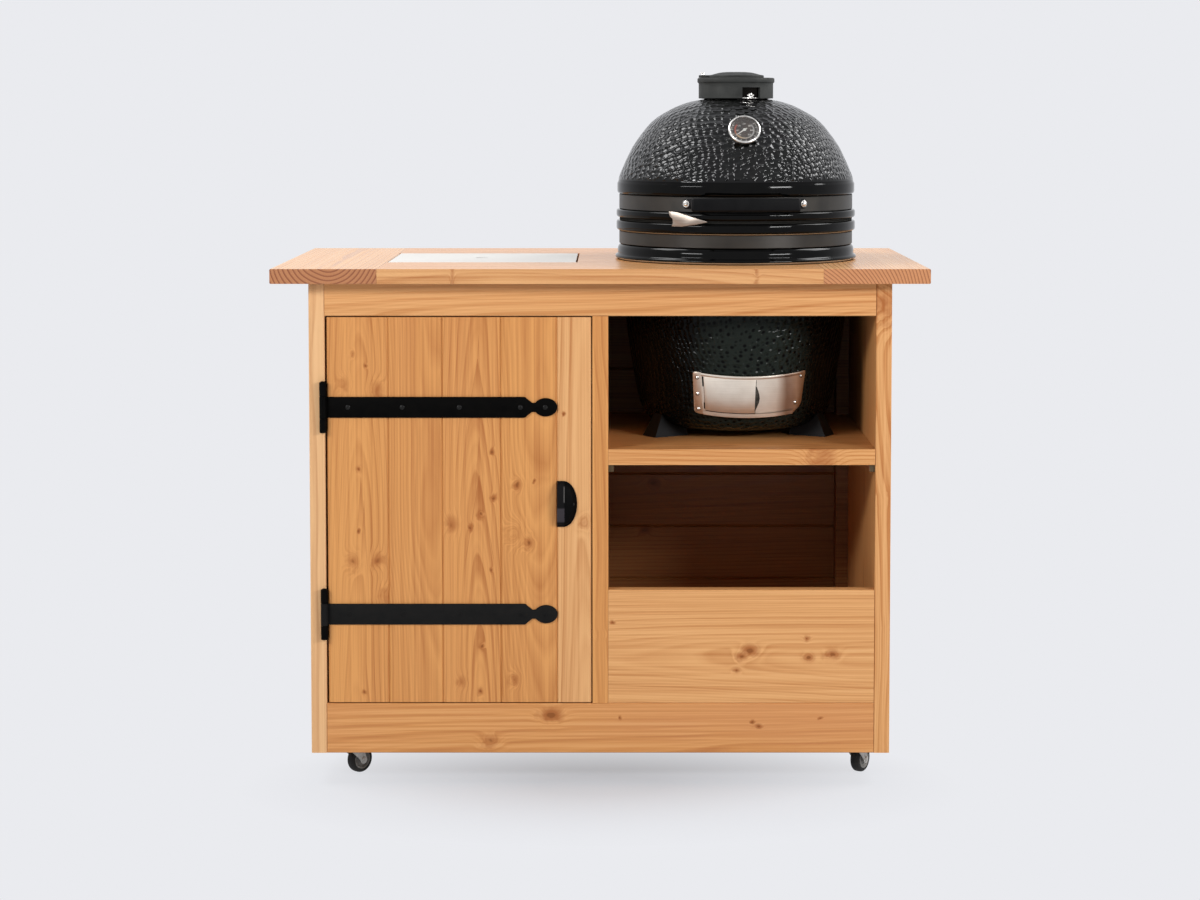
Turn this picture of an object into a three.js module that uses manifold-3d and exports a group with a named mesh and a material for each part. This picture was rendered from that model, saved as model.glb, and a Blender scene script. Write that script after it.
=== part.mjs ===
// A timber grill table on four swivel casters, with a ceramic kamado that stands on
// a shelf and rises through a round hole in the top. Millimetres, +Z up, +X right,
// -Y is the front. The origin lies on the floor under the middle of the table top.

import * as THREE from 'three';
import { mergeVertices } from 'three/addons/utils/BufferGeometryUtils.js';
import Module from 'manifold-3d';

const wasm = await Module();
wasm.setup();

// Clearances: what rests on or beside its neighbour, and how far a cutter runs past a face
const seatGap = 0.3;
const overrun = 5;

// Table top
const topWidth = 1200;
const topDepth = 700;
const topThickness = 27;
const tableHeight = 957;
const endBoardWidth = 194;
const frontBoardDepth = 205;
const backBoardDepth = 190;

// Lift-out plate let into the top
const plateLeftInset = 3.5;
const plateWidth = 355;
const plateThickness = 20;
const plateSideGap = 3.5;
// The left end board's part of the width that plate and hole leave free on the left
const leftBoardShare = 0.719852;
const plateEndGap = 1.5;
const fingerHoleRadius = 12;
const fingerHoleShare = 0.48;
const plateCleatWidth = 24;
const plateCleatHeight = 26;

// Carcass
const carcassWidth = 1070;
const frontOverhang = 45;
const backOverhang = 45;
const casterDrop = 56;
const panelThickness = 29;
const claddingThickness = 20;
const claddingCount = 8;
const claddingGroove = 3;
const topRailHeight = 62;
const plinthHeight = 93;
const binFrontHeight = 212;
const shelfTopDrop = 335;
const postWidth = 25;
const postDepth = 50;
const shelfCleatWidth = 10;
const shelfCleatHeight = 13;
const bearerWidth = 92;
const bearerRecess = 18;
const edgeEase = 1.5;

// Ledged and braced door
const doorThickness = 22;
const doorHingeGap = 4;
const doorGap = 2.2;
const doorBoardShares = [0.231, 0.204, 0.222, 0.214, 0.129];
const tongueLength = 5;
const tongueThickness = 6;
const doorGroove = 2;
const ledgeHeight = 80;
const ledgeThickness = 22;
const ledgeInset = 34;
const braceWidth = 70;

// Strap hinges
const barrelRadius = 6.5;
const barrelLength = 93;
const barrelInset = 26;
const pinRadius = 3;
const pinHeadRadius = 5;
const pinHeadHeight = 2;
const strapLength = 430;
const strapHeight = 38.5;
const strapThickness = 3;
const strapNeckHeight = 20;
const strapTipLength = 46;
const strapTipHeight = 34.5;
const strapChamfer = 11;
const upperStrapDrop = 257;
const lowerStrapRise = 165;
const strapScrewShares = [0.105, 0.337, 0.581, 0.842, 0.948];
const screwHeadRadius = 4.5;
const screwHeadHeight = 1.4;
const leafThickness = 2;
const leafDepth = 36;

// Half-moon pull, magnet catch and strike plate
const pullWidth = 37;
const pullHeight = 85;
const pullProjection = 21;
const pullWall = 2.4;
const pullFlange = 4;
const pullInset = 26;
const pullHeightShare = 0.534;
const catchWidth = 15;
const catchDepth = 17;
const catchHeight = 46;
const catchDrop = 150;
const strikeThickness = 1.5;
const strikeHeight = 34;
const catchGap = 0.4;

// Casters
const casterInset = 32;
const casterPlateSize = 58;
const casterPlateThickness = 2.5;
const raceRadius = 19;
const raceHeight = 6;
const kingPinRadius = 4;
const kingPinHeadRadius = 7;
const casterTrail = 28;
const wheelRadius = 25;
const wheelWidth = 19;
const wheelCoreRadius = 18;
const tyreShoulder = 4;
const axleRadius = 3;
const axleHeadRadius = 5.5;
const axleHeadHeight = 3;
const forkThickness = 2;
const forkClearance = 1.4;
const forkFootRadius = 8;
const runningGap = 0.4;

// Kamado: where it stands, how it is turned, and its ceramic body
const kamadoX = 261;
const kamadoY = -15;
const kamadoTurn = 2.3;
const holeRadius = 229.5;
const baseRadius = 226;
const baseDepth = 322;
const baseCurveShares = [
  [0.53, 1], [0.66, 0.984], [0.762, 0.938], [0.82, 0.86], [0.858, 0.739],
  [0.905, 0.54], [0.942, 0.356], [0.975, 0.17], [0.993, 0.01],
];
const baseWall = 26;
const baseFloor = 30;
const beadRadius = 233.5;
const beadBottom = 2;
const beadHeight = 8;
const shoulderRadius = 229;
const bandSeatRadius = 222;
const rimRadius = 231;
const rimWall = 26;
const seamHeight = 79;
const gasketThickness = 2.4;
const gasketInset = 2;
const gasketWidth = 20;
const gasketGap = 0.5;
const lowerBandBottom = 31;
const lowerBandTop = 55;
const lidRimTop = 97;
const upperBandBottom = 98;
const upperBandTop = 126;
const bandThickness = 3.2;
const lidBeadTop = 150;
const lidBeadRadius = 229.5;
const rimRound = 4;
const domeRadius = 229;
const domeTop = 308;
const domeCurveShares = [
  [0.992, 0.012], [0.978, 0.09], [0.911, 0.31], [0.843, 0.487], [0.705, 0.735],
  [0.541, 0.886], [0.42, 0.958], [0.33, 0.99],
];
const domeWall = 22;
const neckRadius = 61;
const neckTop = 326;
const chimneyRadius = 48;

// Feet, draft door and the parts inside the base
const footAngles = [-60, 60, 180];
const footInnerRadius = 124;
const footOuterRadius = 200;
const footWidth = 44;
const footTopWidth = 24;
const footTopInnerRadius = 136;
const footTopOuterRadius = 176;
const footRise = 48;
const draftTop = 205;
const draftBottom = 285;
const draftTopRadius = 200.7;
const draftBottomRadius = 185.7;
const draftPlateThickness = 1.5;
const draftFromAngle = -29;
const draftToAngle = 36;
const draftFlangeAngle = -22.7;
const draftLipAngle = 33.4;
const draftOpeningFromAngle = -19.2;
const draftOpeningToAngle = 5.5;
const draftOpeningInset = 9;
const draftLipReach = 5.4;
const draftLipHeight = 4.5;
const slideFromAngle = -22;
const slideToAngle = 6.4;
const slideThickness = 1.5;
const slidePullHeight = 54;
const slidePullReach = 8;
const slidePullAngle = 0.45;
const rivetRadius = 3;
const rivetHead = 1.6;
const rivetEdgeInset = 11;
const tunnelWidth = 78;
const tunnelInset = 12;
const fireBoxFootInner = 84;
const fireBoxFootOuter = 102;
const fireBoxWall = 18;
const fireBoxCurve = [[146, 262], [158, 240], [166, 200], [172, 150], [176, 95]];
const fireBoxGrateRadius = 82;
const fireBoxGrateHole = 66;
const fireBoxGrateLedge = 250;
const fireBoxGrateRise = 7;
const fireBoxFloorUnder = 266;
const fireBoxNotchWidth = 92;
const fireBoxNotchTop = 236;
const fireRingRadius = 178;
const fireRingWall = 22;
const fireRingTop = 42;
const charcoalGrateThickness = 6;
const charcoalSlotWidth = 8;
const charcoalSlotPitch = 17;
const charcoalRim = 9;
const grateRadius = 171;
const grateRimRadius = 4;
const grateBarRadius = 2.6;
const grateBarPitch = 23;

// Lid hinge, springs, handle and lid tab
const hingePinSetback = 262;
const hingePinHeight = 84;
const hingePinRadius = 5;
const hingeEarRadius = 11;
const hingeEarThickness = 5;
const baseEarOffset = 52;
const domeEarOffset = 62;
const bracketThickness = 3.5;
const bracketEdgeInset = 2;
const springWireRadius = 1.5;
const springCoilRadius = 9;
const springTurns = 5;
const springLength = 40;
const springSteps = 8;
const springSides = 5;
const handleLength = 209;
const handleHeight = 25;
const handleDepth = 20;
const handleRound = 5;
const handleStandoff = 24;
const handleBracketHeight = 18;
const handleBracketThickness = 4;
const handleBoltOffset = 110;
const handleBoltRadius = 6.5;
const handleBoltHeight = 5;
const handleArmOffset = 84;
const tabLength = 74;
const tabHeight = 31;
const tabBottom = 73;
const tabThickness = 2.5;
const tabAngle = -28.3;
const tabOutlineShares = [
  [0, 1], [0.09, 0.985], [0.25, 0.93], [0.62, 0.62], [1, 0.335], [0.68, 0.14], [0.353, 0.0],
  [0.1, 0.01], [0.13, 0.25], [0.12, 0.5], [0.05, 0.68],
];

// Vent cap on the neck
const ventRadius = 72;
const ventWall = 5;
const ventBottom = 310;
const ventShoulder = 340.6;
const ventTop = 349.7;
const ventLipRadius = 74.5;
const ventOpeningRadius = 45;
const ventCollarWall = 5;
const ventPlate = 5;
const ventNotchFromAngle = 5;
const ventNotchToAngle = 36;
const ventNotchHeight = 21;
const clampThickness = 2;
const clampHeight = 12;
const clampLugWidth = 3;
const clampLugGap = 6;
const clampLugReach = 8;
const clampScrewRadius = 2;
const damperRadius = 54;
const damperThickness = 5;
const damperCrown = 6;
const damperPivotOffset = 64;
const damperEarRadius = 8;
const damperBoltRadius = 2.6;
const damperBoltHeadRadius = 4.4;
const damperBoltHeadHeight = 4.5;

// Thermometer on the dome's front
const thermoHeight = 247.2;
const thermoTiltAngle = 33;
const thermoRadius = 30.8;
const thermoDepth = 10.8;
const thermoSetback = 180.4;
const thermoBezelWidth = 4;
const thermoDialDrop = 5;
const thermoStemRadius = 4;
const thermoStemLength = 58;
const needleLength = 21;
const needleTail = 6;
const needleWidth = 2.2;
const needleThickness = 0.8;
const needleAngle = 215;
const needleHubRadius = 3;
const spindleRadius = 1;

// Derived places
const degree = Math.PI / 180;
const topUnderside = tableHeight - topThickness;
const carcassTop = topUnderside - seatGap;
const carcassFront = -topDepth / 2 + frontOverhang;
const carcassRear = topDepth / 2 - backOverhang;
const sideRear = carcassRear - claddingThickness - seatGap;
const outerSide = carcassWidth / 2;
const innerSide = outerSide - panelThickness;
const dividerHalf = panelThickness / 2;
const railBack = carcassFront + panelThickness;
const railBottom = topUnderside - topRailHeight;
const plinthTop = casterDrop + plinthHeight;
const shelfTop = tableHeight - shelfTopDrop;
const shelfBottom = shelfTop - panelThickness;
const bearerBottom = casterDrop + bearerRecess;
const roundSegments = 36;
const smallSegments = 12;
const slideSegments = 72;
const wheelSegments = 20;

// Closes a geometry: one vertex per place, no empty triangles, faces pointing out
function closed(geometry) {
  const bare = new THREE.BufferGeometry();
  bare.setAttribute('position', geometry.getAttribute('position').clone());
  if (geometry.index) bare.setIndex(geometry.index.clone());
  const merged = mergeVertices(bare, 1e-4);
  const source = merged.index.array;
  const place = merged.getAttribute('position');
  const corners = [];
  let volume = 0;
  const a = new THREE.Vector3();
  const b = new THREE.Vector3();
  const c = new THREE.Vector3();
  for (let i = 0; i < source.length; i += 3) {
    const [p, q, r] = [source[i], source[i + 1], source[i + 2]];
    if (p === q || q === r || r === p) continue;
    corners.push(p, q, r);
    a.fromBufferAttribute(place, p);
    b.fromBufferAttribute(place, q);
    c.fromBufferAttribute(place, r);
    volume += a.dot(b.cross(c));
  }
  if (volume < 0) {
    for (let i = 0; i < corners.length; i += 3) {
      [corners[i], corners[i + 1]] = [corners[i + 1], corners[i]];
    }
  }
  merged.setIndex(corners);
  return merged;
}

function toManifold(geometry) {
  const ready = closed(geometry);
  const mesh = new wasm.Mesh({
    numProp: 3,
    vertProperties: Float32Array.from(ready.getAttribute('position').array),
    triVerts: Uint32Array.from(ready.index.array),
  });
  return new wasm.Manifold(mesh);
}

function toGeometry(manifold) {
  const mesh = manifold.getMesh();
  const geometry = new THREE.BufferGeometry();
  geometry.setAttribute('position', new THREE.BufferAttribute(mesh.vertProperties, 3));
  geometry.setIndex(Array.from(mesh.triVerts));
  return geometry;
}

function cut(body, ...tools) {
  return toGeometry(tools.reduce((rest, tool) => rest.subtract(toManifold(tool)), toManifold(body)));
}

function join(...parts) {
  return toGeometry(parts.slice(1).reduce((sum, part) => sum.add(toManifold(part)), toManifold(parts[0])));
}

function common(body, tool) {
  return toGeometry(toManifold(body).intersect(toManifold(tool)));
}

function block([x0, x1], [y0, y1], [z0, z1]) {
  const geometry = new THREE.BoxGeometry(x1 - x0, y1 - y0, z1 - z0);
  return geometry.translate((x0 + x1) / 2, (y0 + y1) / 2, (z0 + z1) / 2);
}

function outline(points) {
  return new THREE.Shape(points.map(([x, y]) => new THREE.Vector2(x, y)));
}

// Extrudes a flat outline along an axis: its own x and y go to the other two axes in order
function prism(shape, [low, high], axis, curveSegments = smallSegments) {
  const geometry = new THREE.ExtrudeGeometry(shape, {
    depth: high - low, bevelEnabled: false, curveSegments,
  });
  geometry.translate(0, 0, low);
  const units = [new THREE.Vector3(1, 0, 0), new THREE.Vector3(0, 1, 0), new THREE.Vector3(0, 0, 1)];
  const [u, v] = [0, 1, 2].filter((i) => i !== axis);
  geometry.applyMatrix4(new THREE.Matrix4().makeBasis(units[u], units[v], units[axis]));
  return closed(geometry);
}

// A planed board with eased long edges
function board(xs, ys, zs, ease = edgeEase) {
  const spans = [xs, ys, zs];
  const sizes = spans.map(([low, high]) => high - low);
  const along = sizes.indexOf(Math.max(...sizes));
  const [[u0, u1], [v0, v1]] = spans.filter((span, i) => i !== along);
  return prism(outline([
    [u0 + ease, v0], [u1 - ease, v0], [u1, v0 + ease], [u1, v1 - ease],
    [u1 - ease, v1], [u0 + ease, v1], [u0, v1 - ease], [u0, v0 + ease],
  ]), spans[along], along);
}

// Turns a profile of radius and height about the Z axis
function turned(profile, segments = roundSegments) {
  const points = profile.map(([r, z]) => new THREE.Vector2(r, z));
  return closed(new THREE.LatheGeometry(points, segments).rotateX(90 * degree));
}

function ring(inner, outer, bottom, top, segments = roundSegments) {
  return turned([[inner, bottom], [outer, bottom], [outer, top], [inner, top], [inner, bottom]], segments);
}

function rod(radius, [low, high], segments = smallSegments) {
  return turned([[0, low], [radius, low], [radius, high], [0, high]], segments);
}

// Where an angle from the front, towards +X, meets a radius
function around(angle, radius) {
  return [radius * Math.sin(angle * degree), -radius * Math.cos(angle * degree)];
}

// The part of a turned body between two angles from the front
function sector(body, from, to, reach, [bottom, top]) {
  const steps = 8;
  const fan = [[0, 0]];
  for (let i = 0; i <= steps; i += 1) fan.push(around(from + ((to - from) * i) / steps, reach));
  return common(body, prism(outline(fan), [bottom, top], 2));
}

function smooth(points, count) {
  return new THREE.SplineCurve(points.map(([r, z]) => new THREE.Vector2(r, z)))
    .getPoints(count).map((p) => [p.x, p.y]);
}

// Finishes, one function so that every mesh has its own material
const timber = { color: 0xd9a066, roughness: 0.6, metalness: 0 };
const timberDark = { color: 0xb0743c, roughness: 0.65, metalness: 0 };
const blackIron = { color: 0x1c1c1c, roughness: 0.55, metalness: 0.4 };
const glazed = { color: 0x111311, roughness: 0.15, metalness: 0 };
const bandSteel = { color: 0x3b3834, roughness: 0.5, metalness: 0.5 };
const brushed = { color: 0xb9b4ae, roughness: 0.35, metalness: 1 };
const castIron = { color: 0x3d403e, roughness: 0.7, metalness: 0.5 };
const felt = { color: 0x2a2a28, roughness: 0.95, metalness: 0 };
const fireClay = { color: 0xb9a78c, roughness: 0.9, metalness: 0 };
const rubber = { color: 0x1a1a1a, roughness: 0.85, metalness: 0 };
const plateWhite = { color: 0xe9eaea, roughness: 0.4, metalness: 0 };
const blackPlastic = { color: 0x17171a, roughness: 0.45, metalness: 0 };
const needleWhite = { color: 0xf2f0ea, roughness: 0.5, metalness: 0 };

function piece(name, geometry, finish) {
  const mesh = new THREE.Mesh(geometry, new THREE.MeshStandardMaterial(finish));
  mesh.name = name;
  return mesh;
}

// Carcass: two sides, a divider, rails, plinths, floor, back and the kamado shelf
const betweenSides = innerSide - seatGap;
const rearFrameSpan = [sideRear - seatGap - panelThickness, sideRear - seatGap];
const postFront = sideRear - postDepth;

function buildCarcass() {
  const group = new THREE.Group();
  const sideSpan = [carcassFront, sideRear];
  const fullHeight = [casterDrop, carcassTop];
  group.add(piece('side_panel_left', board([-outerSide, -innerSide], sideSpan, fullHeight), timber));
  group.add(piece('side_panel_right', board([innerSide, outerSide], sideSpan, fullHeight), timber));

  // The divider stands on the floor panel and is notched for the two top rails
  const notchUnder = railBottom - seatGap;
  const dividerRear = rearFrameSpan[1];
  const dividerOutline = outline([
    [carcassFront, plinthTop + seatGap], [dividerRear, plinthTop + seatGap], [dividerRear, notchUnder],
    [rearFrameSpan[0] - seatGap, notchUnder], [rearFrameSpan[0] - seatGap, carcassTop],
    [railBack + seatGap, carcassTop], [railBack + seatGap, notchUnder], [carcassFront, notchUnder],
  ]);
  group.add(piece('divider_panel', prism(dividerOutline, [-dividerHalf, dividerHalf], 0), timber));

  const across = [-betweenSides, betweenSides];
  const frontFrameSpan = [carcassFront, railBack];
  const railSpan = [railBottom, carcassTop];
  const plinthSpan = [casterDrop, plinthTop];
  const clear = kamadoHole(railBottom - overrun);
  group.add(piece('top_rail_front', cut(board(across, frontFrameSpan, railSpan), clear), timber));
  group.add(piece('top_rail_rear', cut(board(across, rearFrameSpan, railSpan), clear), timber));
  group.add(piece('plinth_front', board(across, frontFrameSpan, plinthSpan), timber));
  group.add(piece('plinth_rear', board(across, rearFrameSpan, plinthSpan), timber));

  const floorUnder = plinthTop - panelThickness;
  const floorSpan = [railBack + seatGap, rearFrameSpan[0] - seatGap];
  group.add(piece('floor_panel', board(across, floorSpan, [floorUnder, plinthTop]), timber));
  for (const [place, side] of [['left', -1], ['right', 1]]) {
    const edges = [side * betweenSides, side * (betweenSides - bearerWidth)].sort((a, b) => a - b);
    const bearer = board(edges, floorSpan, [bearerBottom, floorUnder - seatGap]);
    const casters = casterPlaces.filter(([name]) => name.endsWith(place)).map(casterMount);
    group.add(piece(`caster_bearer_${place}`, join(bearer, ...casters), timber));
  }

  group.add(piece('back_panel', backPanel(), timberDark));
  group.add(piece('kamado_shelf', kamadoShelf(), timber));
  group.add(piece('bin_front', board([dividerHalf + seatGap, betweenSides], frontFrameSpan,
    [plinthTop + seatGap, plinthTop + binFrontHeight]), timber));
  return group;
}

// Horizontal boards with V joints on both faces, and the two corner posts they are nailed to
function backPanel() {
  const front = carcassRear - claddingThickness;
  const pitch = (carcassTop - casterDrop) / claddingCount;
  const face = [];
  for (let i = 0; i < claddingCount; i += 1) {
    const low = casterDrop + i * pitch;
    face.push([front + claddingGroove, low], [front, low + claddingGroove],
      [front, low + pitch - claddingGroove]);
  }
  face.push([front + claddingGroove, carcassTop]);
  const middle = (front + carcassRear) / 2;
  const rearFace = face.map(([y, z]) => [2 * middle - y, z]).reverse();
  const cladding = prism(outline([...face, ...rearFace]), [-outerSide, outerSide], 0);
  const postSpan = [plinthTop + seatGap, railBottom - seatGap];
  const post = (x0, x1) => block([x0, x1], [postFront, middle], postSpan);
  return join(cladding, post(-betweenSides, -betweenSides + postWidth),
    post(betweenSides - postWidth, betweenSides));
}

// The shelf is notched round the corner post and lies on two cleats
function kamadoShelf() {
  const left = dividerHalf + seatGap;
  const rear = sideRear - seatGap;
  const notchFront = postFront - seatGap;
  const notchLeft = betweenSides - postWidth - seatGap;
  const shape = outline([
    [left, carcassFront], [betweenSides, carcassFront], [betweenSides, notchFront],
    [notchLeft, notchFront], [notchLeft, rear], [left, rear],
  ]);
  const cleat = (x0) => block([x0, x0 + shelfCleatWidth],
    [carcassFront + shelfCleatWidth / 2, notchFront],
    [shelfBottom - shelfCleatHeight, shelfBottom + edgeEase]);
  return join(prism(shape, [shelfBottom, shelfTop], 2), cleat(left), cleat(betweenSides - shelfCleatWidth));
}

// The hole that the kamado stands in, which also clears the rails of a shallow table
function kamadoHole(bottom) {
  return rod(holeRadius, [bottom, tableHeight + overrun], roundSegments).translate(kamadoX, kamadoY, 0);
}

// Table top: two end boards across, and front, back and middle boards between them
const freeLeft = kamadoX - holeRadius + topWidth / 2 - plateLeftInset - plateWidth - plateSideGap;
const leftInner = -topWidth / 2 + freeLeft * leftBoardShare;
const rightInner = topWidth / 2 - endBoardWidth;
const frontBoardRear = -topDepth / 2 + frontBoardDepth;
const backBoardFront = topDepth / 2 - backBoardDepth;
const plateLeft = leftInner + plateLeftInset;
const plateRight = plateLeft + plateWidth;
const plateFront = frontBoardRear + plateEndGap;
const plateRear = backBoardFront - plateEndGap;

function buildTop() {
  const group = new THREE.Group();
  const height = [topUnderside, tableHeight];
  const hole = kamadoHole(topUnderside - overrun);
  const half = topWidth / 2;
  const acrossLeft = leftInner + seatGap;
  const acrossRight = rightInner - seatGap;
  group.add(piece('top_end_board_left',
    board([-half, leftInner], [-topDepth / 2, topDepth / 2], height), timber));
  group.add(piece('top_end_board_right',
    cut(board([rightInner, half], [-topDepth / 2, topDepth / 2], height), hole), timber));
  const front = block([acrossLeft, acrossRight], [-topDepth / 2, frontBoardRear], height);
  const back = block([acrossLeft, acrossRight], [backBoardFront, topDepth / 2], height);
  group.add(piece('top_front_board', join(cut(front, hole),
    plateCleat([frontBoardRear - edgeEase, frontBoardRear + plateCleatWidth])), timber));
  group.add(piece('top_back_board', join(cut(back, hole),
    plateCleat([backBoardFront - plateCleatWidth, backBoardFront + edgeEase])), timber));
  group.add(piece('top_middle_board',
    cut(block([plateRight + plateSideGap, kamadoX],
      [frontBoardRear + seatGap, backBoardFront - seatGap], height), hole), timber));

  // The plate has a finger hole to lift it by
  const finger = rod(fingerHoleRadius, [tableHeight - plateThickness - overrun, tableHeight + overrun], 24);
  finger.translate(plateLeft + plateWidth * fingerHoleShare, (plateFront + plateRear) / 2, 0);
  group.add(piece('inlay_plate', cut(board([plateLeft, plateRight], [plateFront, plateRear],
    [tableHeight - plateThickness, tableHeight]), finger), plateWhite));
  return group;
}

// A batten that carries the plate, screwed to the board before or behind it
function plateCleat(span) {
  const top = tableHeight - plateThickness - seatGap;
  return block([plateLeft + seatGap, plateRight], span, [top - plateCleatHeight, top]);
}

// Door places
const doorLeft = -innerSide + doorHingeGap;
const doorRight = -dividerHalf - doorGap;
const doorBottom = plinthTop + doorGap;
const doorTop = railBottom - doorGap;
const doorBack = carcassFront + doorThickness;
const hingeX = doorLeft - barrelRadius - seatGap;
const hingeY = carcassFront - barrelRadius - seatGap;
const strapHeights = [tableHeight - upperStrapDrop, doorBottom + lowerStrapRise];

function doorBoardOutline(left, right, hasGroove, hasTongue) {
  const middle = carcassFront + doorThickness / 2;
  const tongueHalf = tongueThickness / 2;
  const slotHalf = tongueHalf + seatGap;
  const slotDepth = tongueLength + seatGap;
  const points = [[left, carcassFront + doorGroove], [left + doorGroove, carcassFront],
    [right - doorGroove, carcassFront], [right, carcassFront + doorGroove]];
  if (hasTongue) {
    points.push([right, middle - tongueHalf], [right + tongueLength, middle - tongueHalf],
      [right + tongueLength, middle + tongueHalf], [right, middle + tongueHalf]);
  }
  points.push([right, doorBack], [left, doorBack]);
  if (hasGroove) {
    points.push([left, middle + slotHalf], [left + slotDepth, middle + slotHalf],
      [left + slotDepth, middle - slotHalf], [left, middle - slotHalf]);
  }
  return outline(points);
}

function buildDoor() {
  const group = new THREE.Group();
  const catchZ = railBottom - catchDrop;
  const catchRight = -dividerHalf - seatGap;
  const strike = block([catchRight - catchWidth, doorRight], [doorBack - edgeEase, doorBack + strikeThickness],
    [catchZ - strikeHeight / 2, catchZ + strikeHeight / 2]);
  let left = doorLeft;
  doorBoardShares.forEach((share, i) => {
    const right = left + (doorRight - doorLeft) * share;
    const last = i === doorBoardShares.length - 1;
    const plank = prism(doorBoardOutline(left, last ? right : right - seatGap, i > 0, !last),
      [doorBottom, doorTop], 2);
    group.add(piece(`door_board_${i + 1}`, last ? join(plank, strike) : plank, timber));
    left = right;
  });

  // Two ledges behind the straps and a brace between them
  const ledgeFront = doorBack + seatGap;
  const ledgeSpan = [ledgeFront, ledgeFront + ledgeThickness];
  const ledgeLeft = doorLeft + ledgeInset;
  const ledgeRight = doorRight - ledgeInset;
  const [upper, lower] = strapHeights;
  const braceFoot = lower + ledgeHeight / 2 - edgeEase;
  const braceHead = upper - ledgeHeight / 2 + edgeEase;
  const brace = prism(outline([
    [ledgeLeft, braceFoot], [ledgeLeft + braceWidth, braceFoot],
    [ledgeRight, braceHead], [ledgeRight - braceWidth, braceHead],
  ]), ledgeSpan, 1);
  const ledge = (z) => board([ledgeLeft, ledgeRight], ledgeSpan, [z - ledgeHeight / 2, z + ledgeHeight / 2]);
  group.add(piece('door_ledges', join(ledge(upper), ledge(lower), brace), timber));

  ['lower', 'upper'].forEach((place) => {
    const z = place === 'upper' ? upper : lower;
    group.add(piece(`strap_${place}`, strap(z), blackIron));
    group.add(piece(`hinge_leaf_${place}`, hingeLeaf(z), blackIron));
  });
  group.add(piece('door_pull', doorPull(), blackIron));

  // Magnet catch on the divider, behind the strike plate of the last board
  const catchFront = doorBack + strikeThickness + catchGap;
  group.add(piece('magnet_catch', board([catchRight - catchWidth, catchRight],
    [catchFront, catchFront + catchDepth],
    [catchZ - catchHeight / 2, catchZ + catchHeight / 2]), blackPlastic));
  return group;
}

// The strap runs from its knuckle to a round tip behind a narrow neck
function strap(z) {
  const start = hingeX;
  const tip = start + strapLength;
  const tipCentre = tip - strapTipLength / 2;
  const straightEnd = tip - strapTipLength - strapChamfer;
  const half = strapHeight / 2;
  const neckHalf = strapNeckHeight / 2;
  const neckX = tip - strapTipLength + edgeEase;
  const neckAngle = Math.asin(strapNeckHeight / strapTipHeight);
  const shape = new THREE.Shape();
  shape.moveTo(start, z - half);
  shape.lineTo(straightEnd, z - half);
  shape.lineTo(neckX, z - neckHalf);
  shape.absellipse(tipCentre, z, strapTipLength / 2, strapTipHeight / 2,
    neckAngle - Math.PI, Math.PI - neckAngle, false);
  shape.lineTo(neckX, z + neckHalf);
  shape.lineTo(straightEnd, z + half);
  shape.lineTo(start, z + half);
  const flatBack = carcassFront - seatGap;
  const flat = prism(shape, [flatBack - strapThickness, flatBack], 1);
  const knuckleHalf = barrelLength / 2 - barrelInset;
  const knuckle = rod(barrelRadius, [z - knuckleHalf, z + knuckleHalf]).translate(hingeX, hingeY, 0);
  // Beside the leaf's knuckles the strap starts clear of them
  const clearEnd = hingeX + barrelRadius + runningGap;
  const relief = [-1, 1].map((side) => {
    const inner = knuckleHalf;
    const outer = half + overrun;
    return block([hingeX - barrelRadius - overrun, clearEnd],
      [hingeY - barrelRadius - overrun, flatBack + overrun],
      side < 0 ? [z - outer, z - inner] : [z + inner, z + outer]);
  });
  const bore = rod(pinRadius + seatGap, [z - strapHeight, z + strapHeight]).translate(hingeX, hingeY, 0);
  return join(cut(join(cut(flat, ...relief), knuckle), bore), ...strapScrews(z));
}

function strapScrews(z) {
  const face = carcassFront - seatGap - strapThickness;
  return strapScrewShares.map((share) => {
    const head = turned([[0, -strapThickness / 2], [screwHeadRadius, -strapThickness / 2],
      [screwHeadRadius, 0], [screwHeadRadius * 0.7, screwHeadHeight], [0, screwHeadHeight]], 10);
    return head.rotateX(90 * degree).translate(hingeX + strapLength * share, face, z);
  });
}

// The leaf on the side panel's inner face, its outer knuckles and the pin fixed in them
function hingeLeaf(z) {
  const halfBarrel = barrelLength / 2;
  const knuckleHalf = halfBarrel - barrelInset + runningGap;
  const leafLeft = -innerSide + seatGap;
  const leafSpan = [leafLeft, leafLeft + leafThickness];
  const upright = block(leafSpan, [carcassFront, carcassFront + leafDepth], [z - halfBarrel, z + halfBarrel]);
  const knuckles = [[z - halfBarrel, z - knuckleHalf], [z + knuckleHalf, z + halfBarrel]].flatMap((span) => [
    rod(barrelRadius, span).translate(hingeX, hingeY, 0),
    block(leafSpan, [hingeY, carcassFront + edgeEase], span),
  ]);
  const top = z + halfBarrel;
  const pin = turned([
    [0, z - halfBarrel], [pinRadius, z - halfBarrel], [pinRadius, top - edgeEase],
    [pinHeadRadius, top - edgeEase], [pinHeadRadius, top + pinHeadHeight / 2],
    [pinHeadRadius - edgeEase, top + pinHeadHeight], [0, top + pinHeadHeight],
  ]).translate(hingeX, hingeY, 0);
  return join(upright, ...knuckles, pin);
}

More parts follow.
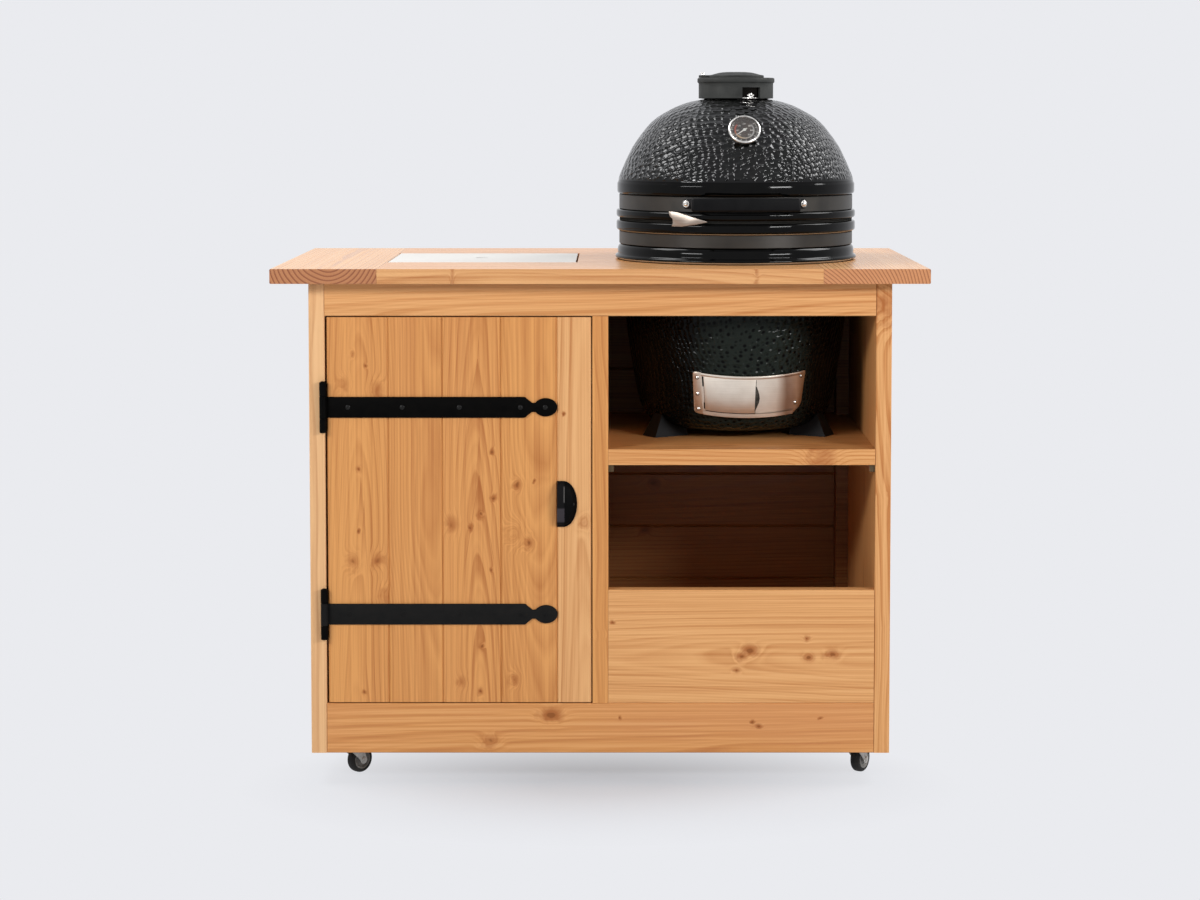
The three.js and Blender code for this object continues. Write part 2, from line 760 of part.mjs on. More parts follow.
// A half-moon cup: half an ellipsoid shell, open on its straight side, on a thin flange
function doorPull() {
  const right = doorRight - pullInset;
  const left = right - pullWidth;
  const [upper, lower] = strapHeights;
  const z = lower + (upper - lower) * pullHeightShare;
  const back = carcassFront - seatGap;
  const shell = (inset) => new THREE.SphereGeometry(1, 20, 10)
    .scale(pullWidth - pullFlange - inset, pullProjection - inset, pullHeight / 2 - pullFlange - inset)
    .translate(left, back, z);
  const flangeShape = new THREE.Shape();
  flangeShape.absellipse(left, z, pullWidth, pullHeight / 2, -Math.PI / 2, Math.PI / 2, false);
  const flange = prism(flangeShape, [back - pullWall, back], 1);
  const keep = block([left, right + overrun], [back - pullProjection - overrun, back],
    [z - pullHeight, z + pullHeight]);
  const cup = common(shell(0), keep);
  return cut(join(flange, cup), shell(pullWall));
}

// Casters, each modelled with its swivel axis on Z and its wheel trailing towards +X
const plateUnder = bearerBottom - casterPlateThickness;
const forkTop = plateUnder - raceHeight - runningGap;
const casterX = innerSide - casterInset;
const casterFrontY = railBack + casterInset;
const casterRearY = rearFrameSpan[0] - casterInset;
const casterPlaces = [
  ['front_left', -casterX, casterFrontY, 45],
  ['front_right', casterX, casterFrontY, 57],
  ['rear_left', -casterX, casterRearY, 0],
  ['rear_right', casterX, casterRearY, 0],
];

// What is screwed under a bearer: a swivel race with its king pin, or a fixed fork at the rear
function casterMount([place, x, y, yaw]) {
  const half = casterPlateSize / 2;
  const plate = block([-half, half], [-half, half], [plateUnder, bearerBottom + edgeEase]);
  const race = rod(raceRadius, [plateUnder - raceHeight, plateUnder + edgeEase]);
  const headTop = forkTop - forkThickness - runningGap;
  const pin = rod(kingPinRadius, [headTop - edgeEase, plateUnder]);
  const head = rod(kingPinHeadRadius, [headTop - forkThickness, headTop]);
  const fixed = place.startsWith('rear');
  const mount = fixed ? join(plate, race, casterFork(plateUnder - raceHeight + edgeEase, false))
    : join(plate, race, pin, head);
  return mount.rotateZ(fixed ? yaw * degree : 0).translate(x, y, 0);
}

// Two arms, a crown and the axle that is riveted between the arms
function casterFork(top, swivels) {
  const inner = wheelWidth / 2 + forkClearance;
  const outer = inner + forkThickness;
  const foot = new THREE.Shape();
  foot.moveTo(-raceRadius, top);
  foot.lineTo(-raceRadius, top - forkThickness);
  foot.lineTo(casterTrail - forkFootRadius, wheelRadius);
  foot.absarc(casterTrail, wheelRadius, forkFootRadius, Math.PI, 2 * Math.PI, false);
  foot.lineTo(raceRadius + forkThickness, top);
  const arms = [prism(foot, [-outer, -inner], 1, 8), prism(foot, [inner, outer], 1, 8)];
  const crown = block([-raceRadius, raceRadius], [-outer, outer], [top - forkThickness, top]);
  const end = outer + axleHeadHeight;
  const axle = turned([
    [0, -end], [axleHeadRadius, -end], [axleHeadRadius, -outer + edgeEase / 2],
    [axleRadius, -outer + edgeEase / 2], [axleRadius, outer - edgeEase / 2],
    [axleHeadRadius, outer - edgeEase / 2], [axleHeadRadius, end], [0, end],
  ], 12).rotateX(90 * degree).translate(casterTrail, 0, wheelRadius);
  const fork = join(...arms, crown, axle);
  if (!swivels) return fork;
  return cut(fork, rod(kingPinRadius + runningGap, [top - overrun, top + overrun]));
}

// Tyre and dished core in one turned wheel, bored for the axle
function casterWheel() {
  const half = wheelWidth / 2;
  const bore = axleRadius + runningGap;
  const web = half / 2;
  const side = [
    [bore, half], [axleHeadRadius, half], [axleHeadRadius + edgeEase, web],
    [wheelCoreRadius - tyreShoulder, web], [wheelCoreRadius - edgeEase, half],
    [wheelRadius - tyreShoulder, half], [wheelRadius, half / 2],
  ];
  const mirrored = side.map(([r, z]) => [r, -z]);
  return turned([...mirrored, ...side.reverse(), mirrored[0]], wheelSegments)
    .rotateX(90 * degree).translate(casterTrail, 0, wheelRadius);
}

function buildCasters() {
  const group = new THREE.Group();
  for (const [place, x, y, yaw] of casterPlaces) {
    const caster = new THREE.Group();
    caster.position.set(x, y, 0);
    caster.rotation.z = yaw * degree;
    if (place.startsWith('front')) {
      caster.add(piece(`caster_fork_${place}`, casterFork(forkTop, true), brushed));
    }
    caster.add(piece(`caster_wheel_${place}`, casterWheel(), rubber));
    group.add(caster);
  }
  return group;
}

// Kamado places, all measured from the table top and from the kamado's own axis
const bandRadius = bandSeatRadius + seatGap + bandThickness;
const rimTop = seamHeight - gasketGap / 2 - gasketThickness - seatGap;
const lidRimBottom = seamHeight + gasketGap / 2 + gasketThickness + seatGap;

function baseOutside(offset) {
  return smooth(baseCurveShares.map(([r, z]) => [baseRadius * r + offset, -baseDepth * z - offset]), 9);
}

function ceramicBase() {
  const innerRadius = baseRadius - baseWall;
  const innerDepth = baseDepth - baseFloor;
  const inside = smooth(baseCurveShares.map(([r, z]) => [innerRadius * r, -innerDepth * z]), 5).reverse();
  const beadTop = beadBottom + beadHeight;
  const profile = [
    [0, -baseDepth], ...baseOutside(0),
    [baseRadius, beadBottom - edgeEase], [beadRadius, beadBottom + edgeEase], [beadRadius, beadTop - edgeEase],
    [shoulderRadius - edgeEase, beadTop + edgeEase], [shoulderRadius, (beadTop + lowerBandBottom) / 2],
    [shoulderRadius - rimRound, lowerBandBottom - edgeEase], [bandSeatRadius, lowerBandBottom - seatGap],
    [bandSeatRadius, lowerBandTop + seatGap], [rimRadius - rimRound, lowerBandTop + edgeEase],
    [rimRadius, lowerBandTop + rimRound + edgeEase], [rimRadius, rimTop - rimRound], [rimRadius - rimRound, rimTop],
    [rimRadius - rimWall, rimTop], ...inside, [0, -innerDepth],
  ];
  const tunnelMiddle = (draftOpeningFromAngle + draftOpeningToAngle) / 2;
  const tunnel = block([-tunnelWidth / 2, tunnelWidth / 2], [-baseRadius - overrun, -fireBoxFootOuter],
    [-draftBottom + tunnelInset, -draftTop - tunnelInset]).rotateZ(tunnelMiddle * degree);
  return cut(turned(profile), tunnel);
}

function ceramicDome() {
  const rise = domeTop - lidBeadTop;
  const outside = smooth(domeCurveShares.map(([r, z]) => [domeRadius * r, lidBeadTop + rise * z]), 9);
  const innerRadius = domeRadius - domeWall;
  const innerRise = rise - domeWall;
  const inside = smooth(domeCurveShares.map(([r, z]) => [innerRadius * r, lidBeadTop + innerRise * z]), 6)
    .filter(([r]) => r > chimneyRadius + rimRound).reverse();
  const profile = [
    [rimRadius - rimWall, lidRimBottom], [rimRadius - rimRound, lidRimBottom],
    [rimRadius, lidRimBottom + rimRound], [rimRadius, lidRimTop - rimRound], [rimRadius - rimRound, lidRimTop],
    [bandSeatRadius, upperBandBottom - seatGap], [bandSeatRadius, upperBandTop + seatGap],
    [lidBeadRadius - rimRound, upperBandTop + edgeEase], [lidBeadRadius, upperBandTop + rimRound + edgeEase],
    [lidBeadRadius, lidBeadTop - rimRound], [lidBeadRadius - rimRound / 2, lidBeadTop],
    ...outside, [neckRadius + rimRound, domeTop], [neckRadius, domeTop + edgeEase], [neckRadius, neckTop],
    [chimneyRadius, neckTop], [chimneyRadius, domeTop - domeWall],
    ...inside, [rimRadius - rimWall, lidRimBottom],
  ];
  const stemBore = rod(thermoStemRadius + seatGap, [-thermoStemLength - overrun, thermoDepth]);
  placeThermometer(stemBore);
  return cut(turned(profile), stemBore);
}

// Moves a piece modelled with its dial facing +Z onto the front of the dome
function placeThermometer(geometry) {
  return geometry.rotateX((90 - thermoTiltAngle) * degree).translate(0, -thermoSetback, thermoHeight);
}

function band(bottom, top) {
  return ring(bandSeatRadius + seatGap, bandRadius, bottom, top);
}

function gasket(bottom) {
  const outer = rimRadius - rimRound - gasketInset;
  return ring(outer - gasketWidth, outer, bottom, bottom + gasketThickness);
}

// Hinge bracket: a plate bent round the band with two ears that reach the pin
function hingeBracket(bandBottom, bandTop, earOffset) {
  const inner = bandRadius + seatGap;
  const outer = inner + bracketThickness;
  const bottom = bandBottom + bracketEdgeInset;
  const top = bandTop - bracketEdgeInset;
  const halfAngle = Math.asin((earOffset + hingeEarThickness / 2) / inner) / degree;
  const plate = sector(ring(inner, outer, bottom, top), 180 - halfAngle, 180 + halfAngle,
    outer + overrun, [bottom - overrun, top + overrun]);
  const root = Math.sqrt(inner * inner - earOffset * earOffset) + seatGap;
  const upward = bandBottom > seamHeight ? -1 : 1;
  const ear = new THREE.Shape();
  const reach = Math.atan2(hingePinHeight - (bottom + top) / 2, hingePinSetback - root);
  const from = upward > 0 ? reach - 90 * degree : reach + 90 * degree;
  ear.moveTo(root, upward > 0 ? top : bottom);
  ear.lineTo(root, upward > 0 ? bottom : top);
  ear.absarc(hingePinSetback, hingePinHeight, hingeEarRadius, from, from + upward * 180 * degree, upward < 0);
  const ears = [-earOffset, earOffset].map((x) =>
    prism(ear, [x - hingeEarThickness / 2, x + hingeEarThickness / 2], 0, 10));
  return cut(join(plate, ...ears), rod(inner, [0, lidBeadTop], roundSegments));
}

// The lid's bracket turns on the pin; the base's bracket holds the pin and both springs
function lidHingeBracket() {
  const bore = rod(hingePinRadius + runningGap, [-handleLength, handleLength])
    .rotateY(90 * degree).translate(0, hingePinSetback, hingePinHeight);
  return cut(hingeBracket(upperBandBottom, upperBandTop, domeEarOffset), bore);
}

function baseHingeBracket() {
  return join(hingeBracket(lowerBandBottom, lowerBandTop, baseEarOffset), hingePin(), ...hingeSprings());
}

function hingePin() {
  const half = domeEarOffset + hingeEarThickness / 2 + runningGap;
  const end = half + pinHeadHeight;
  const head = hingePinRadius + pinHeadHeight;
  return turned([[0, -end], [head, -end], [head, -half], [hingePinRadius, -half], [hingePinRadius, half],
    [head, half], [head, end], [0, end]]).rotateY(90 * degree).translate(0, hingePinSetback, hingePinHeight);
}

// One closing spring as an unbroken wire: a helix round the pin with straight ends along it
function springWire(from, direction) {
  const rings = [];
  const lead = 2 * springWireRadius;
  const pitch = (springLength - 2 * lead) / springTurns;
  const steps = springSteps * springTurns;
  const centre = (t) => {
    const angle = t * 2 * Math.PI;
    return new THREE.Vector3(from + direction * (lead + t * pitch),
      hingePinSetback + springCoilRadius * Math.cos(angle), hingePinHeight + springCoilRadius * Math.sin(angle));
  };
  const path = [centre(0).setX(from)];
  for (let i = 0; i <= steps; i += 1) path.push(centre(i / springSteps));
  path.push(centre(springTurns).setX(from + direction * springLength));
  path.forEach((point, i) => {
    const before = path[Math.max(i - 1, 0)];
    const after = path[Math.min(i + 1, path.length - 1)];
    const tangent = i === 0 || i === path.length - 1
      ? new THREE.Vector3(direction, 0, 0) : after.clone().sub(before).normalize();
    const out = point.clone().sub(new THREE.Vector3(point.x, hingePinSetback, hingePinHeight));
    const normal = out.addScaledVector(tangent, -out.dot(tangent)).normalize();
    const side = tangent.clone().cross(normal);
    const corners = [];
    for (let k = 0; k < springSides; k += 1) {
      const turn = (2 * Math.PI * k) / springSides;
      corners.push(point.clone().addScaledVector(normal, springWireRadius * Math.cos(turn))
        .addScaledVector(side, springWireRadius * Math.sin(turn)));
    }
    rings.push(corners);
  });
  const positions = rings.flat().flatMap((p) => [p.x, p.y, p.z]);
  const index = [];
  for (let i = 0; i + 1 < rings.length; i += 1) {
    for (let k = 0; k < springSides; k += 1) {
      const a = i * springSides + k;
      const b = i * springSides + ((k + 1) % springSides);
      index.push(a, b, b + springSides, a, b + springSides, a + springSides);
    }
  }
  const last = (rings.length - 1) * springSides;
  for (let k = 1; k + 1 < springSides; k += 1) {
    index.push(0, k + 1, k, last, last + k, last + k + 1);
  }
  const geometry = new THREE.BufferGeometry();
  geometry.setAttribute('position', new THREE.Float32BufferAttribute(positions, 3));
  geometry.setIndex(index);
  reportSpringGap(path);
  return geometry;
}

// The least distance between the wire's surfaces where it passes itself
function reportSpringGap(path) {
  let least = Infinity;
  for (let i = 0; i < path.length; i += 1) {
    for (let j = i + springSteps / 2; j < path.length; j += 1) {
      least = Math.min(least, path[i].distanceTo(path[j]) - 2 * springWireRadius);
    }
  }
  console.log(`least gap in a hinge spring: ${least.toFixed(2)} mm`);
}

function hingeSprings() {
  const start = baseEarOffset - springWireRadius;
  return [springWire(-start, 1), springWire(start, -1)];
}

// Handle: a bar with rounded edges in front of the upper band, on two bolted brackets
const handleZ = (upperBandBottom + upperBandTop) / 2 + edgeEase;
const handleBackY = -(bandRadius + handleStandoff);

function lidHandle() {
  const y0 = handleBackY - handleDepth;
  const z0 = handleZ - handleHeight / 2;
  const r = handleRound;
  const section = new THREE.Shape();
  section.absarc(y0 + r, z0 + r, r, Math.PI, 1.5 * Math.PI, false);
  section.absarc(handleBackY - r, z0 + r, r, 1.5 * Math.PI, 2 * Math.PI, false);
  section.absarc(handleBackY - r, z0 + handleHeight - r, r, 0, 0.5 * Math.PI, false);
  section.absarc(y0 + r, z0 + handleHeight - r, r, 0.5 * Math.PI, Math.PI, false);
  const bar = prism(section, [-handleLength / 2, handleLength / 2], 0, 4);
  return join(bar, handleBracket(-1), handleBracket(1));
}

// A foot bent to the band, an arm forward to the bar, and the bolt's head on the foot
function handleBracket(side) {
  const inner = bandRadius + seatGap;
  const outer = inner + handleBracketThickness;
  const height = [handleZ - handleBracketHeight / 2, handleZ + handleBracketHeight / 2];
  const angleOf = (x, radius) => (side * Math.asin(x / radius)) / degree;
  const sorted = (p, q) => [Math.min(p, q), Math.max(p, q)];
  const span = sorted(angleOf(handleArmOffset, inner), angleOf(handleBoltOffset + handleBoltRadius, inner));
  const foot = sector(ring(inner, outer, height[0], height[1]), span[0], span[1],
    outer + overrun, [height[0] - overrun, height[1] + overrun]);
  const armFar = handleArmOffset + handleBracketThickness;
  const armBack = around(angleOf(armFar, outer), inner)[1];
  const arm = cut(block(sorted(side * handleArmOffset, side * armFar),
    [handleBackY - edgeEase, armBack], height), rod(inner, [seamHeight, lidBeadTop], roundSegments));
  const boltAngle = angleOf(handleBoltOffset, outer);
  const bolt = turned([[0, -edgeEase], [handleBoltRadius, -edgeEase], [handleBoltRadius, handleBoltHeight / 2],
    [handleBoltRadius / 2, handleBoltHeight], [0, handleBoltHeight]], 12);
  const [x, y] = around(boltAngle, outer);
  return join(foot, arm, bolt.rotateX(90 * degree).rotateZ(boltAngle * degree).translate(x, y, handleZ));
}

// A pointed plate on the lid's rim that laps over the seam
function lidTab() {
  const shape = outline(tabOutlineShares.map(([x, z]) => [(x - 0.5) * tabLength, tabBottom + z * tabHeight]));
  const back = -(rimRadius + seatGap);
  return prism(shape, [back - tabThickness, back], 1).rotateZ(tabAngle * degree);
}

// Draft door: a curved plate with lips top and bottom that guide the slide
function draftRadius(z) {
  const share = (z + draftBottom) / (draftBottom - draftTop);
  return draftBottomRadius + (draftTopRadius - draftBottomRadius) * share;
}

// A turned strip that follows the plate's taper, between two heights and two offsets from it
function taperedRing([low, high], [inside, outside]) {
  return turned([
    [draftRadius(low) + inside, low], [draftRadius(low) + outside, low],
    [draftRadius(high) + outside, high], [draftRadius(high) + inside, high],
    [draftRadius(low) + inside, low],
  ], slideSegments);
}

function draftSector(body, from, to) {
  return sector(body, from, to, baseRadius + overrun, [-draftBottom - overrun, -draftTop + overrun]);
}

function draftFrame() {
  const whole = [-draftBottom, -draftTop];
  const plate = draftSector(taperedRing(whole, [0, draftPlateThickness]), draftFromAngle, draftToAngle);
  const lipAt = (low, high, inside) => draftSector(
    taperedRing([low, high], [inside, draftLipReach]), draftFlangeAngle, draftLipAngle);
  const shelfDepth = draftPlateThickness - edgeEase / 2;
  const hook = draftPlateThickness + slideThickness + 2 * runningGap;
  const lips = [
    lipAt(-draftBottom, -draftBottom + edgeEase, shelfDepth),
    lipAt(-draftBottom, -draftBottom + draftLipHeight, hook),
    lipAt(-draftTop - edgeEase, -draftTop, shelfDepth),
    lipAt(-draftTop - draftLipHeight, -draftTop, hook),
  ];
  const opening = draftSector(taperedRing(
    [-draftBottom + draftOpeningInset, -draftTop - draftOpeningInset], [-overrun, overrun]),
  draftOpeningFromAngle, draftOpeningToAngle);
  return join(cut(join(plate, ...lips), opening), ...draftRivets());
}

function draftRivets() {
  const low = -draftBottom + rivetEdgeInset;
  const high = -draftTop - rivetEdgeInset;
  const flange = (draftFromAngle + draftFlangeAngle) / 2;
  const rightEdge = (draftToAngle + draftLipAngle) / 2;
  const places = [[flange, low], [flange, (low + high) / 2], [flange, high], [rightEdge, low], [rightEdge, high]];
  return places.map(([angle, z]) => {
    const head = turned([[0, -draftPlateThickness], [rivetRadius, -draftPlateThickness], [rivetRadius, 0],
      [rivetRadius * 0.6, rivetHead], [0, rivetHead]], 6);
    const [x, y] = around(angle, draftRadius(z) + draftPlateThickness);
    return head.rotateX(90 * degree).rotateZ(angle * degree).translate(x, y, z);
  });
}

function draftSlide() {
  const inside = draftPlateThickness + runningGap;
  const outside = inside + slideThickness;
  const low = -draftBottom + edgeEase + runningGap;
  const high = -draftTop - edgeEase - runningGap;
  const plate = draftSector(taperedRing([low, high], [inside, outside]), slideFromAngle, slideToAngle);
  // A lens-shaped tongue bent outwards along the slide's edge
  const middle = (low + high) / 2;
  const foot = draftRadius(middle) + inside;
  const lens = new THREE.Shape();
  lens.moveTo(foot, middle - slidePullHeight / 2);
  lens.quadraticCurveTo(foot + 2 * slidePullReach, middle, foot, middle + slidePullHeight / 2);
  const thickness = slideThickness / 2;
  const lensSolid = prism(lens, [-thickness, thickness], 1, 8).rotateZ((slideToAngle - slidePullAngle - 90) * degree);
  const clip = draftSector(taperedRing([low, high], [inside, slidePullReach + outside]),
    slideFromAngle, slideToAngle + slidePullAngle);
  return join(plate, common(lensSolid, clip));
}

// A tapered foot on the shelf, hollowed on top to the curve of the base
function kamadoFoot(angle) {
  const floor = -shelfTopDrop + seatGap;
  const bowl = turned([[0, -baseDepth - seatGap], ...baseOutside(seatGap), [0, 0]]);
  const body = new THREE.BoxGeometry(1, 1, 1);
  const place = body.getAttribute('position');
  for (let i = 0; i < place.count; i += 1) {
    const isTop = place.getZ(i) > 0;
    const inner = isTop ? footTopInnerRadius : footInnerRadius;
    const outer = isTop ? footTopOuterRadius : footOuterRadius;
    place.setX(i, place.getX(i) * (isTop ? footTopWidth : footWidth));
    place.setY(i, -(place.getY(i) < 0 ? outer : inner));
    place.setZ(i, isTop ? floor + footRise : floor);
  }
  return cut(body.rotateZ(angle * degree), bowl);
}

// Fire box: a bowl on a foot ring, with a rebated hole for the charcoal grate and a draft notch
function fireBox() {
  const floor = -(baseDepth - baseFloor) + seatGap;
  const outside = fireBoxCurve.map(([r, depth]) => [r, -depth]);
  const inside = fireBoxCurve.map(([r, depth]) => [r - fireBoxWall, -depth]).slice(1).reverse();
  const ledge = -fireBoxGrateLedge;
  const profile = [
    [fireBoxFootInner, floor], [fireBoxFootOuter, floor], ...outside, ...inside,
    [fireBoxGrateRadius, ledge + fireBoxGrateRise], [fireBoxGrateRadius, ledge], [fireBoxGrateHole, ledge],
    [fireBoxGrateHole, -fireBoxFloorUnder], [fireBoxFootInner, -fireBoxFloorUnder], [fireBoxFootInner, floor],
  ];
  const middle = (draftOpeningFromAngle + draftOpeningToAngle) / 2;
  const notch = block([-fireBoxNotchWidth / 2, fireBoxNotchWidth / 2],
    [-baseRadius, -fireBoxGrateRadius + edgeEase], [floor - overrun, -fireBoxNotchTop])
    .rotateZ(middle * degree);
  return cut(turned(profile, 28), notch);
}

function fireRing() {
  const top = fireBoxCurve[fireBoxCurve.length - 1][1];
  return ring(fireRingRadius - fireRingWall, fireRingRadius, -top + seatGap, fireRingTop, 28);
}

// Cast grate: a disc with parallel slots that stop short of its rim
function charcoalGrate() {
  const radius = fireBoxGrateRadius - seatGap - runningGap;
  const shape = new THREE.Shape();
  shape.absarc(0, 0, radius, 0, 2 * Math.PI, false);
  const rows = Math.floor((radius - charcoalRim) / charcoalSlotPitch);
  for (let i = -rows; i <= rows; i += 1) {
    const x = i * charcoalSlotPitch;
    const edge = Math.abs(x) + charcoalSlotWidth / 2;
    const reach = Math.sqrt(Math.max((radius - charcoalRim) ** 2 - edge ** 2, 0));
    const half = charcoalSlotWidth / 2;
    if (reach > charcoalSlotWidth) {
      shape.holes.push(new THREE.Path([[x - half, -reach], [x - half, reach], [x + half, reach], [x + half, -reach]]
        .map(([u, v]) => new THREE.Vector2(u, v))));
    }
  }
  const bottom = -fireBoxGrateLedge + seatGap;
  return prism(shape, [bottom, bottom + charcoalGrateThickness], 2, 9);
}

// Cooking grate: a round wire rim with parallel bars
function cookingGrate() {
  const z = fireRingTop + seatGap + grateRimRadius;
  const rim = new THREE.TorusGeometry(grateRadius, grateRimRadius, 8, 32).translate(0, 0, z);
  const count = Math.floor((grateRadius - grateRimRadius) / grateBarPitch);
  const bars = [];
  for (let i = -count; i <= count; i += 1) {
    const x = i * grateBarPitch;
    const reach = Math.sqrt(grateRadius ** 2 - x ** 2);
    bars.push(rod(grateBarRadius, [-reach, reach], 6).rotateX(90 * degree).translate(x, 0, z));
  }
  return join(rim, ...bars);
}

// Vent cap: a skirt round the neck, a seat on the neck's top, and a lipped top plate
function ventHousing() {
  const inner = ventRadius - ventWall;
  const seat = neckTop + seatGap;
  const under = ventTop - ventPlate;
  const collarOuter = ventOpeningRadius + ventCollarWall;
  const profile = [
    [ventOpeningRadius, seat], [collarOuter, seat], [collarOuter, under], [inner, under],
    [inner, ventBottom], [ventRadius, ventBottom], [ventRadius, ventShoulder - edgeEase],
    [ventLipRadius, ventShoulder], [ventLipRadius, ventTop - edgeEase], [ventLipRadius - edgeEase, ventTop],
    [ventOpeningRadius, ventTop], [ventOpeningRadius, seat],
  ];
  const notch = sector(ring(inner - overrun, ventRadius + overrun, ventBottom - overrun,
    ventBottom + ventNotchHeight), ventNotchFromAngle, ventNotchToAngle, ventRadius + 2 * overrun,
  [ventBottom - 2 * overrun, ventBottom + ventNotchHeight]);
  const top = ventTop + seatGap + damperThickness + runningGap;
  const bolt = turned([
    [0, under], [damperBoltRadius, under], [damperBoltRadius, top], [damperBoltHeadRadius, top],
    [damperBoltHeadRadius, top + damperBoltHeadHeight / 2], [damperBoltRadius, top + damperBoltHeadHeight],
    [0, top + damperBoltHeadHeight],
  ], 12).translate(-damperPivotOffset, 0, 0);
  return join(cut(turned(profile), notch), bolt, neckClamp(under));
}

// A sleeve round the neck whose slit end is drawn together by a screw behind the notch
function neckClamp(under) {
  const inner = neckRadius + seatGap;
  const outer = inner + clampThickness;
  const bottom = ventBottom + edgeEase;
  const top = bottom + clampHeight;
  const angle = (ventNotchFromAngle + ventNotchToAngle) / 2;
  const half = clampLugGap / 2;
  const sleeve = cut(ring(inner, outer, bottom, under + edgeEase),
    block([-half, half], [-outer - overrun, 0], [bottom - overrun, top + overrun]));
  const lug = (x0, x1) => block([x0, x1], [-outer - clampLugReach / 2, -inner - edgeEase / 2], [bottom, top]);
  const middle = (bottom + top) / 2;
  const end = half + clampLugWidth + clampScrewRadius;
  const screw = rod(clampScrewRadius, [-end, end], 8)
    .rotateY(90 * degree).translate(0, -outer - clampScrewRadius, middle);
  return join(sleeve, lug(-half - clampLugWidth, -half), lug(half, half + clampLugWidth), screw)
    .rotateZ(angle * degree);
}

// Crowned damper disc with an ear for its pivot
function damperDisc() {
  const bottom = ventTop + seatGap;
  const flat = bottom + damperThickness;
  const disc = turned([
    [0, bottom], [damperRadius, bottom], [damperRadius, flat - edgeEase], [damperRadius - edgeEase * 2, flat],
    [damperRadius * 0.6, bottom + damperThickness + damperCrown * 0.8], [damperRadius * 0.25, flat + damperCrown],
    [0, flat + damperCrown],
  ], 32);
  const ear = rod(damperEarRadius, [bottom, flat]).translate(-damperPivotOffset, 0, 0);
  const neck = block([-damperPivotOffset, -damperPivotOffset / 2], [-damperEarRadius, damperEarRadius],
    [bottom, flat]);
  const bore = rod(damperBoltRadius + seatGap, [bottom - overrun, flat + overrun])
    .translate(-damperPivotOffset, 0, 0);
  const head = rod(damperBoltHeadRadius + damperBoltHeadRadius / 2, [flat, flat + damperCrown + overrun])
    .translate(-damperPivotOffset, 0, 0);
  return cut(join(disc, ear, neck), bore, head);
}

// Thermometer: a case with a stem and a bezel, and a needle on a spindle over the dial
function thermometerCase() {
  const dial = thermoDepth - thermoDialDrop;
  const bore = thermoRadius - thermoBezelWidth;
  const body = turned([
    [0, -thermoStemLength], [thermoStemRadius, -thermoStemLength], [thermoStemRadius, 0],
    [thermoRadius - thermoBezelWidth, 0], [thermoRadius - edgeEase, edgeEase],
    [thermoRadius, thermoDepth - thermoBezelWidth], [thermoRadius - edgeEase, thermoDepth],
    [bore, thermoDepth], [bore, dial], [spindleRadius, dial],
    [spindleRadius, dial + needleThickness * 2], [0, dial + needleThickness * 2],
  ], 24);
  return placeThermometer(body);
}

function thermometerNeedle() {
  const bottom = thermoDepth - thermoDialDrop + seatGap;
  const half = needleWidth / 2;
  const blade = prism(outline([[-needleTail, -half], [0, -half], [needleLength, 0], [0, half], [-needleTail, half]]),
    [bottom, bottom + needleThickness], 2).rotateZ(needleAngle * degree);
  const hub = rod(needleHubRadius, [bottom, bottom + needleThickness], 12);
  const bore = rod(spindleRadius + seatGap, [bottom - overrun, bottom + overrun], 12);
  return placeThermometer(cut(join(blade, hub), bore));
}

function buildKamado() {
  const kamado = new THREE.Group();
  kamado.position.set(kamadoX, kamadoY, tableHeight);
  kamado.rotation.z = kamadoTurn * degree;
  kamado.add(piece('ceramic_base', ceramicBase(), glazed));
  kamado.add(piece('base_band', band(lowerBandBottom, lowerBandTop), bandSteel));
  kamado.add(piece('base_gasket', gasket(rimTop + seatGap), felt));
  kamado.add(piece('base_hinge_bracket', baseHingeBracket(), bandSteel));
  kamado.add(piece('draft_frame', draftFrame(), brushed));
  kamado.add(piece('draft_slide', draftSlide(), brushed));
  footAngles.forEach((angle, i) => kamado.add(piece(`kamado_foot_${i + 1}`, kamadoFoot(angle), blackPlastic)));
  kamado.add(piece('fire_box', fireBox(), fireClay));
  kamado.add(piece('fire_ring', fireRing(), fireClay));
  kamado.add(piece('charcoal_grate', charcoalGrate(), castIron));
  kamado.add(piece('cooking_grate', cookingGrate(), brushed));

  const lid = new THREE.Group();
  lid.add(piece('ceramic_dome', ceramicDome(), glazed));
  lid.add(piece('dome_band', band(upperBandBottom, upperBandTop), bandSteel));
  lid.add(piece('dome_gasket', gasket(lidRimBottom - seatGap - gasketThickness), felt));
  lid.add(piece('dome_hinge_bracket', lidHingeBracket(), bandSteel));
  lid.add(piece('lid_handle', lidHandle(), blackPlastic));
  lid.add(piece('lid_tab', lidTab(), brushed));
  lid.add(piece('vent_housing', ventHousing(), castIron));
  lid.add(piece('damper_disc', damperDisc(), castIron));
  lid.add(piece('thermometer_case', thermometerCase(), brushed));
  lid.add(piece('thermometer_needle', thermometerNeedle(), needleWhite));
  kamado.add(lid);
  return kamado;
}

const grillTable = new THREE.Group();
grillTable.add(buildCarcass(), buildTop(), buildDoor(), buildCasters(), buildKamado());

export default grillTable;
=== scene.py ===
# Kamado grill table: the look of every piece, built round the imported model. Metres, +Z up, -Y is the front.
import math

import bmesh
import bpy
from mathutils import Matrix, Vector


